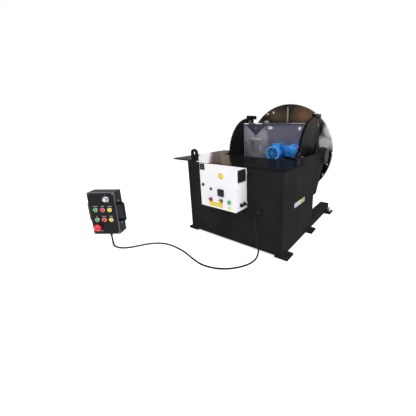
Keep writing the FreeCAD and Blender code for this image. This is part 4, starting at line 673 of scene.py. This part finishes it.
# --- rotation drive ----------------------------------------------------------------------
# A blue gearmotor: cast gear case, finned motor, sheet-steel fan cover with a wire grille over
# a fan and recess in painted shade, dark navy, a lidded terminal box and a bare rating plate.
drive_blue = enamel("drive_blue", (0.03, 0.27, 0.76), 0.3, shade=0.25, peel=0.12, dust=0.03, shine=0.5)
finish_with(drive_blue, "rotation_gearbox", "rotation_motor")
motor_low, motor_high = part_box("rotation_motor")
case_low, case_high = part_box("rotation_gearbox")
motor_x, fan_radius = (motor_low.x + motor_high.x) / 2, 0.072
fan_middle = np.array([motor_x, motor_low.y, motor_low.z + fan_radius])
BACKWARD = (0, -1, 0)


def on_fan(skin, angle, reach, proud):
    """Lays a flat-drawn skin on the fan's end of the motor, turned by an angle and moved out by a reach."""
    out_way = np.array([math.cos(angle), 0, math.sin(angle)])
    return set_on(skin, fan_middle - (0, proud, 0) + reach * out_way, out_way, np.cross(out_way, (0, 1, 0)))


# The dark navy of the recess and the fan behind the grille is painted shade inside the fan cover.
fan_in_shade = enamel("fan_in_shade", (0.006, 0.016, 0.045), 0.55, shade=0.3, shine=0.2)
recess = turned([(0, 0), (0.058, 0), (0.058, 0.0012), (0, 0.0012)])
blade = slab(0.03, 0.009, 0.003, 0.0022)
fan_skins = [aimed(recess, fan_middle, BACKWARD)]
fan_skins += [on_fan(blade, angle, 0.036, 0.001) for angle in np.linspace(0, 2 * np.pi, 9, endpoint=False)]
add_piece("motor_fan", fan_skins, fan_in_shade, "tilting_frame")


def wire_ring(radius, thick):
    """A round wire bent to a circle: a small circle carried round a large one."""
    angle = np.linspace(0, 2 * np.pi, 9)
    return turned(np.stack([radius + thick * np.cos(angle), thick * np.sin(angle)], -1), 56)


wire_proud = 0.0045
rim = turned([
    (0.0575, 0), (0.072, 0), (0.0725, 0.0015), (0.069, 0.0058), (0.0625, 0.0068), (0.0575, 0.0045),
    (0.0575, 0)], 72)
spoke = slab(0.114, 0.0026, 0.0012, 0.002)
grille = [aimed(wire_ring(radius, 0.0009), fan_middle - (0, wire_proud, 0), BACKWARD)
          for radius in (0.014, 0.024, 0.034, 0.044, 0.054)]
grille.append(aimed(rim, fan_middle, BACKWARD))
grille += [on_fan(spoke, angle, 0, wire_proud) for angle in np.linspace(0, np.pi, 4, endpoint=False)]
# The grille and its rim take a lighter copy of the drive blue: painted light on the wires.
drive_blue_lit = enamel("drive_blue_lit", (0.05, 0.31, 0.82), 0.28, shade=0.25)
add_piece("fan_grille", grille, drive_blue_lit, "tilting_frame")

gear_x, gear_z, cap_ring, flange_y, lid_y = 0.2888, 0.8, 0.061, 0.414, 0.289
drive_fixings = []
for angle in np.radians(45 * np.arange(8)):
    at = (gear_x + cap_ring * math.cos(angle), case_low.y + 0.016, gear_z + cap_ring * math.sin(angle))
    drive_fixings += hexagon_screw(at, BACKWARD, 0.009, 0.0055)
lid_columns, lid_rows = (motor_x - 0.032, motor_x + 0.032), (lid_y - 0.014, lid_y + 0.044)
drive_fixings += screw_grid(lid_columns, lid_rows, (motor_high.z,), (0, 0, 1), 0.006, 0.003)
flange_rows = (gear_z - 0.052, gear_z + 0.052)
drive_fixings += screw_grid((case_high.x - 0.009,), (flange_y,), flange_rows, BACKWARD, 0.013, 0.008)
add_piece("drive_screws", drive_fixings, plated, "tilting_frame", sharp=30)
box_lid = slab(0.084, 0.082, 0.008, 0.0045, edge=0.0012)
gear_cap = turned([
    (0, 0), (0.046, 0), (0.046, 0.002), (0.04, 0.006), (0.014, 0.0075), (0.012, 0.0045), (0, 0.0045)], 64)
lids = [set_on(box_lid, (motor_x, lid_y, motor_high.z - 0.001), (1, 0, 0), (0, 1, 0)),
        aimed(gear_cap, (gear_x, case_low.y, gear_z), BACKWARD)]
add_piece("drive_lids", lids, drive_blue, "tilting_frame")
rating_place = (0.213, case_low.y + 0.016, 0.788)
rating = set_on(slab(0.052, 0.03, 0.002, 0.001), rating_place, (1, 0, 0), (0, 0, 1))
plate_metal = bare_steel("plate_metal", (0.62, 0.63, 0.65), 0.35, grain=(30, 1, 1))
add_piece("rating_plate", [rating], plate_metal, "tilting_frame")

# --- tilt drive --------------------------------------------------------------------------
# The tilt gearmotor stands inside the box, out of sight from behind; it is grey, and the limit
# switch on the deck is black plastic with a steel roller.
finish_with(enamel("drive_grey", (0.1, 0.12, 0.14), 0.4, peel=0.12), "tilt_gearbox", "tilt_motor")
dark_plastic = enamel("dark_plastic", (0.012, 0.012, 0.014), 0.45, peel=0.1, shine=0.2)
finish_with(dark_plastic, "tilt_limit_switch", "vent_grille", "cable_glands", "control_gear",
            "switch_blocks")
switch_low, switch_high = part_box("tilt_limit_switch")
switch_x = (switch_low.x + switch_high.x) / 2
roller = turned([
    (0.0025, -0.004), (0.0085, -0.004), (0.009, -0.003), (0.009, 0.003), (0.0085, 0.004), (0.0025, 0.004),
    (0.0025, -0.004)], 32)
roller_place = (switch_x - 0.009, switch_high.y - 0.006, switch_low.z + 0.039)
add_piece("switch_roller", [aimed(roller, roller_place, (1, 0, 0))], zinc, "base")
housing = rounded_plate(0.034, 0.052, 0.004, [(1, 0), (0, 0), (0, 0.0445), (0.003, 0.0475), (1, 0.0475)])
housing_place = (switch_x, switch_low.y + 0.025, switch_low.z)
add_piece("switch_housing", [set_on(housing, housing_place, (1, 0, 0), (0, 1, 0))],
          dark_plastic, "base")

# --- control cabinet ---------------------------------------------------------------------
# A folded sheet-steel box with a pan-shaped door, powder-coated off-white. On the door: two
# locks, a rotary isolator, two domed lamps, a green button, and bare plates and stickers.
cabinet_white = enamel("cabinet_white", (0.84, 0.83, 0.87), 0.42, shade=0.03, peel=0.1, shine=0.25)
finish_with(cabinet_white, "cabinet_shell", "cabinet_door")
door_low, door_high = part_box("cabinet_door")
hinge_reach = 0.015
door_right, door_bottom, door_face = door_high.x - hinge_reach, door_low.z, door_low.y


def on_door(skin, from_right, from_bottom):
    """Lays a flat-drawn skin on the door's face, measured from its lower right corner."""
    at = (door_right - from_right, door_face, door_bottom + from_bottom)
    return set_on(skin, at, (1, 0, 0), (0, 0, 1))


def gloss_plastic(name, colour, roughness=0.22, glow=0.0, mottle=0.1):
    """Moulded plastic: the tint and the gloss drift slowly with noise, and some light passes just
    under the skin; a lit lens glows a little."""
    plastic, tree, shader = new_material(name)
    drift = noise(tree, object_place(tree), 70, 3)
    dark, light = [c * (1 - mottle) for c in colour], [min(1, c * (1 + mottle)) for c in colour]
    feed(tree, shader, {
        "Base Color": ramp(tree, drift, ((0, dark), (1, light))),
        "Roughness": rescaled(tree, drift, roughness * 0.8, roughness * 1.25),
        "Specular IOR Level": 0.25,
        "Subsurface Weight": 0.08,
        "Subsurface Scale": 0.004})
    if glow:
        feed(tree, shader, {"Emission Color": (*colour, 1), "Emission Strength": glow})
    return plastic


sign_yellow = enamel("sign_yellow", (0.72, 0.62, 0.02), 0.35, shade=0.07, peel=0.04)
sign_black = enamel("sign_black", (0.012, 0.012, 0.014), 0.35, shade=0.2, peel=0.06, shine=0.3)
sign_border = enamel("sign_border", (0.42, 0.2, 0.015), 0.35, shade=0.1, peel=0.04)
round_sign_spot, wide_sign_spot = (0.146, 0.284), (0.21, 0.0325)
name_plate = on_door(slab(0.056, 0.054, 0.003, 0.0014), 0.349, 0.3425)
plate_piece = add_piece("name_plate", [name_plate], sign_black, "door")
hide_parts("door_plates")
round_sign = turned([(0, 0), (0.0265, 0), (0.0265, 0.0004), (0.0255, 0.0009), (0, 0.0009)], 56)
yellow_signs = [
    on_door(round_sign, *round_sign_spot),
    on_door(slab(0.15, 0.037, 0.004, 0.001), *wide_sign_spot),
    on_door(slab(0.03, 0.024, 0.002, 0.001), 0.065, 0.026)]
add_piece("yellow_signs", yellow_signs, sign_yellow, "door")
border_ring = turned([
    (0.0205, 0.0008), (0.0235, 0.0008), (0.0235, 0.0012), (0.0205, 0.0012), (0.0205, 0.0008)], 56)
wide_border = rounded_plate(0.144, 0.031, 0.003, [
    (0, 0.0008), (0, 0.0013), (0.0016, 0.0013), (0.0016, 0.0008), (0, 0.0008)])
borders = [on_door(border_ring, *round_sign_spot), on_door(wide_border, *wide_sign_spot)]
add_piece("sign_borders", borders, sign_border, "door")

isolator_spot = (0.152, 0.144)
isolator_plate = rounded_plate(0.066, 0.06, 0.006, [
    (0.024, 0.008), (0.024, 0), (0, 0), (0, 0.0065), (0.0018, 0.0084), (0.01, 0.0084), (0.024, 0.008)])
add_piece("isolator_plate", [on_door(isolator_plate, *isolator_spot)], dark_plastic, "door")
knob_disc = turned([
    (0, -0.008), (0.0078, -0.008), (0.0078, 0.0085), (0.0215, 0.0085), (0.0225, 0.01), (0.0215, 0.0145),
    (0.018, 0.016), (0, 0.016)], 56)
knob_grip = rounded_plate(0.0125, 0.046, 0.006, [
    (1, 0.015), (0, 0.015), (0.0002, 0.027), (0.0022, 0.03), (1, 0.03)])
handle_skins = [on_door(knob_disc, *isolator_spot), on_door(knob_grip, *isolator_spot)]
isolator_black = gloss_plastic("isolator_black", (0.02, 0.02, 0.022), 0.3)
isolator_knob = add_piece("isolator_handle", handle_skins, isolator_black, "isolator")
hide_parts("isolator_knob")

lock_ring = turned([
    (0, 0), (0.0125, 0), (0.0125, 0.0045), (0.0112, 0.0062), (0.0085, 0.0062), (0.0078, 0.0045),
    (0, 0.0045)], 40)
add_piece("second_lock", [on_door(lock_ring, 0.259, 0.162)], sign_black, "door")
finish_with(sign_black, "door_lock")

lamp_body = turned([
    (0.0178, 0), (0.0178, 0.0045), (0.0165, 0.006), (0.014, 0.006), (0.014, 0), (0.0178, 0)], 48)
lamp_dome = turned([
    (0.0138, 0), (0.0138, 0.0085), (0.0128, 0.0125), (0.01, 0.0152), (0.0055, 0.0168), (0, 0.0172)], 48)
full_hood, _ = turned([
    (0.0145, 0.0055), (0.016, 0.0055), (0.016, 0.0165), (0.0145, 0.0165), (0.0145, 0.0055)], 48)
upper_hood = (full_hood[:, :25], False)
lamp_kinds = (("red", (0.266, 0.068), (0.72, 0.045, 0.035)), ("amber", (0.151, 0.072), (0.8, 0.3, 0.02)))
lamp_skins = []
for name, spot, colour in lamp_kinds:
    lamp_skins += [on_door(lamp_body, *spot), on_door(upper_hood, *spot)]
lamps = add_piece("lamp_bodies", lamp_skins, sign_black, "door")
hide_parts("pilot_lamps")
for name, spot, colour in lamp_kinds:
    lens = gloss_plastic(f"lens_{name}", colour, 0.12, glow=0.1)
    add_piece(f"lamp_lens_{name}", [on_door(lamp_dome, *spot)], lens, "door")

start_green = gloss_plastic("start_green", (0.05, 0.4, 0.13), 0.22)
start_cap = turned([
    (0, -0.008), (0.0148, -0.008), (0.0148, 0.0055), (0.018, 0.006), (0.018, 0.0085), (0.015, 0.0095),
    (0.0146, 0.013), (0.0132, 0.0142), (0.009, 0.0134), (0, 0.013)], 48)
start = add_piece("start_cap", [on_door(start_cap, 0.063, 0.078)], start_green, "start")
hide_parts("start_button")

seal_black = enamel("seal_rubber", (0.02, 0.02, 0.021), 0.7, shade=0.2, peel=0.1, shine=0.25)
door_wide, door_tall = door_right - door_low.x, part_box("cabinet_shell")[1].z - door_low.z
door_deep, gasket_play = 0.018, 0.0006
door_middle = (door_right - door_wide / 2, door_face + door_deep, door_bottom + door_tall / 2)
gasket = rounded_plate(door_wide - gasket_play, door_tall - gasket_play, 0.002, [
    (0.001, 0), (0.001, 0.0022), (0.008, 0.0022), (0.008, 0), (0.001, 0)])
gasket_skin = set_on(gasket, door_middle, (1, 0, 0), (0, 0, 1))
add_piece("door_gasket", [gasket_skin], seal_black, "door")

vent_low, vent_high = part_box("vent_grille")
vent_columns = (vent_low.y + 0.006, vent_high.y - 0.006)
vent_rows = (vent_low.z + 0.006, vent_high.z - 0.006)
vent_screws = screw_grid((vent_high.x - 0.0003,), vent_columns, vent_rows, (1, 0, 0), 0.005, 0.0022)
add_piece("vent_screws", vent_screws, plated, "base", sharp=30)
filter_mat = slab(vent_high.y - vent_low.y - 0.02, vent_high.z - vent_low.z - 0.016, 0.002, 0.003)
filter_place = (vent_low.x + 0.0005, (vent_low.y + vent_high.y) / 2, (vent_low.z + vent_high.z) / 2)
add_piece("vent_filter", [set_on(filter_mat, filter_place, (0, 1, 0), (0, 0, 1))],
          seal_black, "base")

# --- pendant cable -----------------------------------------------------------------------
# One black rubber-sheathed control cable of 14 mm. It leaves the rear wall's gland, droops to the
# floor and lies there in loose curves as far as the pendant's gland, which it enters from below.
cable_thick = 0.014
route = [
    (0.309, -0.333, 0.370), (0.309, -0.390, 0.370), (0.322, -0.437, 0.346), (0.338, -0.458, 0.295),
    (0.351, -0.459, 0.235), (0.361, -0.454, 0.165), (0.365, -0.449, 0.108), (0.364, -0.448, 0.058),
    (0.359, -0.470, 0.020), (0.350, -0.519, 0.007), (0.328, -0.584, 0.007), (0.276, -0.660, 0.007),
    (0.205, -0.717, 0.007), (0.114, -0.754, 0.007), (0.016, -0.765, 0.007), (-0.101, -0.743, 0.007),
    (-0.222, -0.714, 0.007), (-0.355, -0.703, 0.007), (-0.461, -0.709, 0.007), (-0.540, -0.739, 0.007),
    (-0.610, -0.796, 0.007), (-0.654, -0.869, 0.007), (-0.700, -0.945, 0.007), (-0.765, -0.995, 0.007),
    (-0.848, -1.005, 0.007), (-0.91305, -0.98074, 0.007), (-0.93741, -0.97166, 0.022),
    (-0.95615, -0.96467, 0.057), (-0.95615, -0.96467, 0.113)]
sheath = bpy.data.curves.new("pendant_lead", "CURVE")
sheath.dimensions = "3D"
line = sheath.splines.new("NURBS")
line.points.add(len(route) - 1)
line.points.foreach_set("co", np.c_[np.array(route), np.ones(len(route))].ravel())
line.order_u = 3
line.use_endpoint_u = True
line.resolution_u = 10
sheath.bevel_depth = cable_thick / 2
sheath.bevel_resolution = 5
sheath.use_fill_caps = True
cable = bpy.data.objects.new("pendant_lead", sheath)
scene.collection.objects.link(cable)
rubber = enamel("cable_rubber", (0.011, 0.011, 0.012), 0.55, shade=0.25, peel=0.14, dust=0.02, shine=0.06)
sheath.materials.append(rubber)
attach(cable, "base")
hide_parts("pendant_cable")

# --- pendant ------------------------------------------------------------------------------
# A black die-cast case with a screwed front plate: a speed dial, two rows of three buttons, an
# emergency stop and a grab handle on each side. Thin bare-metal strips frame the front.
case_black = enamel("pendant_black", (0.009, 0.009, 0.012), 0.5, shade=0.15, peel=0.1, shine=0.12)
finish_with(case_black, "pendant_case", "pendant_face")
grips = enamel("handle_black", (0.008, 0.008, 0.009), 0.45, shade=0.2, peel=0.12, edge=0.004, shine=0.15)
finish_with(grips, "pendant_handles", "pendant_gland")
lean = math.radians(34.5)
RIGHT, UP = np.array([math.cos(lean), math.sin(lean), 0]), np.array([0, 0, 1.0])
FRONTWARD = np.cross(RIGHT, UP)
pendant_low, pendant_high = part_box("pendant_case")
case_wide, case_tall, case_deep = 0.238, 0.397, 0.11
face_middle = np.array([-0.925, -1.01, (pendant_low.z + pendant_high.z) / 2])
corner_sides = [(side_x, side_z) for side_x in (-1, 1) for side_z in (-1, 1)]


def pendant_spot(across, up, proud=0.0):
    """A place measured from the middle of the pendant's front, to the right, upwards and out of it."""
    return face_middle + across * RIGHT + up * UP + proud * FRONTWARD


def on_pendant(skin, across, up, proud=0.0):
    """Lays a flat-drawn skin on the pendant's front, measured from the middle of it."""
    return set_on(skin, pendant_spot(across, up, proud), RIGHT, UP)


trim_metal = bare_steel("trim_metal", (0.17, 0.18, 0.21), 0.38, grain=(1, 1, 12), streak=0.08)
edge_strip = rounded_plate(case_wide + 0.0016, case_tall + 0.0016, 0.0045, [
    (0, -0.004), (0, 0.0006), (0.0008, 0.0012), (0.003, 0.0012), (0.003, 0), (0.0009, -0.004), (0, -0.004)])
cup = turned([
    (0, 0.0012), (0.0045, 0.0012), (0.005, 0.0032), (0.0062, 0.0034), (0.0088, 0.002), (0.0092, 0),
    (0, 0)], 32)
trims = [on_pendant(edge_strip, 0, 0)]
trims += [on_pendant(cup, side_x * (case_wide / 2 - 0.01), side_z * (case_tall / 2 - 0.01))
          for side_x, side_z in corner_sides]
add_piece("pendant_trim", trims, trim_metal, "base", sharp=30)

label_white = enamel("label_white", (0.34, 0.34, 0.37), 0.5, shade=0.25, peel=0.05)
pitch, upper_row, lower_row, label_up = 0.0635, 0.04, -0.055, 0.031
knob_across, knob_up, tick_circle, number_circle = 0.042, 0.137, 0.031, 0.0415
strips = []
for row, lengths in ((upper_row, (0.046, 0.026, 0.042)), (lower_row, (0.01, 0.036, 0.03))):
    for column, length in zip((-1, 0, 1), lengths):
        strip = slab(length, 0.0055, 0.001, 0.0006, edge=0.0002)
        strips.append(on_pendant(strip, column * pitch, row + label_up))
strips.append(on_pendant(slab(0.04, 0.006, 0.001, 0.0006, edge=0.0002), -0.086, -0.167))
strips.append(on_pendant(slab(0.03, 0.005, 0.001, 0.0006, edge=0.0002), -0.046, -0.167))
dial_angles = [math.radians(240 - 30 * mark) for mark in range(11)]
for mark, angle in enumerate(dial_angles):
    tick, closed = slab(0.006 if mark % 5 else 0.0085, 0.0016, 0.0004, 0.0006, edge=0.0002)
    cos, sin = math.cos(angle), math.sin(angle)
    outward_tick = (tick @ np.array([[cos, sin, 0], [-sin, cos, 0], [0, 0, 1]]), closed)
    strips.append(on_pendant(outward_tick, knob_across + tick_circle * cos, knob_up + tick_circle * sin))
add_piece("pendant_marks", strips, label_white, "base")

for mark in (0, 5, 10):
    figure = bpy.data.curves.new(f"dial_number_{mark}", "FONT")
    figure.body = str(mark)
    figure.size = 0.0095
    figure.align_x = figure.align_y = "CENTER"
    figure.extrude = 0.0003
    drawn = bpy.data.objects.new(f"dial_number_{mark}", figure)
    flat_mesh = bpy.data.meshes.new_from_object(drawn)
    bpy.data.objects.remove(drawn)
    across = knob_across + number_circle * math.cos(dial_angles[mark])
    up = knob_up + number_circle * math.sin(dial_angles[mark])
    corners = np.empty(len(flat_mesh.vertices) * 3)
    flat_mesh.vertices.foreach_get("co", corners)
    placed, _ = on_pendant((corners.reshape(-1, 3), False), across, up, 0.0003)
    flat_mesh.vertices.foreach_set("co", placed.ravel())
    flat_mesh.materials.clear()
    flat_mesh.materials.append(label_white)
    number = bpy.data.objects.new(f"dial_number_{mark}", flat_mesh)
    scene.collection.objects.link(number)
    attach(number, "base")

bezel = turned([
    (0.0172, 0), (0.0172, 0.0095), (0.018, 0.0103), (0.0195, 0.0098), (0.0216, 0.006), (0.0222, 0.0012),
    (0.0222, 0), (0.0172, 0)], 56)
knob_scale = turned([
    (0.0082, 0), (0.0082, 0.0018), (0.024, 0.0018), (0.025, 0.001), (0.025, 0), (0.0082, 0)], 56)
stop_collar = turned([
    (0.0122, 0), (0.0122, 0.0046), (0.02, 0.0046), (0.0222, 0.003), (0.0225, 0), (0.0122, 0)], 56)
stop_across, stop_up = -0.066, -0.129
chrome = bare_steel("bezel_chrome", (0.66, 0.68, 0.72), 0.18, grain=(6, 6, 6), streak=0.06)
rings = [on_pendant(bezel, column * pitch, row) for row in (upper_row, lower_row) for column in (-1, 0, 1)]
rings += [on_pendant(knob_scale, knob_across, knob_up), on_pendant(stop_collar, stop_across, stop_up)]
bezels = add_piece("button_rings", rings, chrome, "base")
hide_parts("button_bezels")

button_paints = {
    "green": gloss_plastic("button_green", (0.055, 0.4, 0.095), 0.25),
    "red": gloss_plastic("button_red", (0.74, 0.018, 0.016), 0.25),
    "yellow": gloss_plastic("button_yellow", (0.88, 0.6, 0.002), 0.25)}
button_cap = turned([
    (0, -0.02), (0.0168, -0.02), (0.0168, 0.0118), (0.0158, 0.0136), (0.014, 0.014), (0.0105, 0.0126),
    (0.006, 0.0119), (0, 0.0117)], 48)
for row, up in ((1, upper_row), (2, lower_row)):
    for column, (colour, paint) in zip((-1, 0, 1), button_paints.items()):
        label = f"{colour}_button_{row}"
        cap_skin = on_pendant(button_cap, column * pitch, up)
        cap_piece = add_piece(f"{label}_cap", [cap_skin], paint, f"{label}_body")
        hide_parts(label)

stop_red = gloss_plastic("stop_red", (0.72, 0.018, 0.016), 0.28)
mushroom = turned([
    (0, -0.02), (0.0118, -0.02), (0.0118, 0.0115), (0.0235, 0.012), (0.0318, 0.0135), (0.033, 0.0165),
    (0.033, 0.0225), (0.0312, 0.0265), (0.0262, 0.03), (0.018, 0.0318), (0.012, 0.0318), (0.0105, 0.031),
    (0, 0.0308)], 64)
stop_skin = on_pendant(mushroom, stop_across, stop_up)
stop_piece = add_piece("stop_mushroom", [stop_skin], stop_red, "emergency_stop_body")
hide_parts("emergency_stop")


def arc_band(radius_in, radius_out, first, last, height, thick):
    """A curved bar on a dome: the band between two radii over a span of angles, lower at its outer
    edge like the dome, with a thickness."""
    angle = np.linspace(math.radians(first), math.radians(last), 18)
    loop = np.array([(radius_in, height), (radius_in, height + thick), (radius_out, height + thick - 0.0022),
                     (radius_out, height - 0.0022), (radius_in, height)])
    ends = np.array([((radius_in + radius_out) / 2, height - 0.0008)] * len(loop))
    profile = np.stack([ends] + [loop] * len(angle) + [ends])
    angle = np.r_[angle[0], angle, angle[-1]][:, None]
    radius, height = profile[..., 0], profile[..., 1]
    return np.stack([radius * np.cos(angle), radius * np.sin(angle), height], -1), False


arcs = [on_pendant(arc_band(0.0185, 0.0235, first, first + 72, 0.0312, 0.0014), stop_across, stop_up)
        for first in (30, 150, 270)]
arrow_pale = gloss_plastic("stop_arrow_pale", (0.8, 0.3, 0.28), 0.3)
add_piece("stop_arrows", arcs, arrow_pale, "emergency_stop_body")

# The dial's knob is turned light metal: its skirt is fluted by a cosine of the angle.
turn_angle = np.linspace(0, 2 * np.pi, 96, endpoint=False)
knob_rows = np.array([(0, -0.012), (0.0078, -0.012), (0.0078, 0.0022), (0.0186, 0.0022), (0.0188, 0.006),
                      (0.0172, 0.0075), (0.0168, 0.0235), (0.015, 0.0255), (0.004, 0.0257), (0, 0.0257)])
flutes, flute_deep = 18, 0.0007
fluting = np.array([0, 0, 0, 0, 0, 0.5, 1, 0.4, 0, 0])[:, None] * flute_deep * np.cos(flutes * turn_angle)
radius = knob_rows[:, :1] + fluting
height = np.broadcast_to(knob_rows[:, 1:], radius.shape)
knob_skin = np.stack([radius * np.cos(turn_angle), radius * np.sin(turn_angle), height], -1), True
knob_metal = bare_steel("knob_metal", (0.62, 0.62, 0.59), 0.34, grain=(8, 8, 8))
knob = add_piece("dial_knob", [on_pendant(knob_skin, knob_across, knob_up)], knob_metal,
                 "speed_knob_body")
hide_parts("speed_knob")
pointer = on_pendant(slab(0.0022, 0.012, 0.0008, 0.001), knob_across, knob_up + 0.0085, 0.0253)
add_piece("dial_pointer", [pointer], sign_black, "speed_knob_body")

cross_head = turned([(0, 0), (0.0042, 0), (0.0042, 0.001), (0.003, 0.002), (0, 0.0022)], 20)
handle_screw = turned([
    (0, 0), (0.0058, 0), (0.0058, 0.00096), (0.0044, 0.0018), (0.0022, 0.0018), (0.002, 0.00084),
    (0, 0.00084)], 24)
handle_half, case_screws = 0.107, []
for side_x, side_z in corner_sides:
    spot = pendant_spot(side_x * (case_wide / 2 - 0.012), side_z * (case_tall / 2 - 0.012), -case_deep)
    case_screws.append(set_on(cross_head, spot, -RIGHT, UP))
for side_x, side_z in corner_sides:
    spot = pendant_spot(side_x * (case_wide / 2 + 0.0002), side_z * handle_half, -case_deep / 2)
    case_screws.append(set_on(handle_screw, spot, -side_x * FRONTWARD, UP))
add_piece("pendant_case_screws", case_screws, plated, "base", sharp=30)
back_lid = slab(case_wide - 0.006, case_tall - 0.006, 0.006, 0.0012)
add_piece("pendant_back_lid", [set_on(back_lid, pendant_spot(0, 0, -case_deep - 0.0001), -RIGHT, UP)],
          case_black, "base")

# Ribbed rubber sleeves keep the cable from bending sharply where it enters either gland.
ribs = [(0.0072, -0.042), (0.0092, -0.042)]
for step in range(6):
    z, wide = -0.0395 + 0.0048 * step, 0.0096 + 0.0005 * step
    ribs += [(wide, z), (wide + 0.0016, z + 0.001), (wide + 0.0016, z + 0.0026), (wide, z + 0.0036)]
ribs += [(0.0165, -0.0118), (0.017, -0.01), (0.017, -0.0012), (0.016, 0), (0.0072, 0), (0.0072, -0.042)]
sleeve = turned(ribs, 40)
gland_top = (route[-1][0], route[-1][1], pendant_low.z)
add_piece("pendant_sleeve", [aimed(sleeve, gland_top, (0, 0, 1))], seal_black, "base")
wall_spot = (route[0][0], box_low.y, route[0][2])
add_piece("wall_sleeve", [aimed(sleeve, wall_spot, (0, 1, 0))], seal_black, "base")
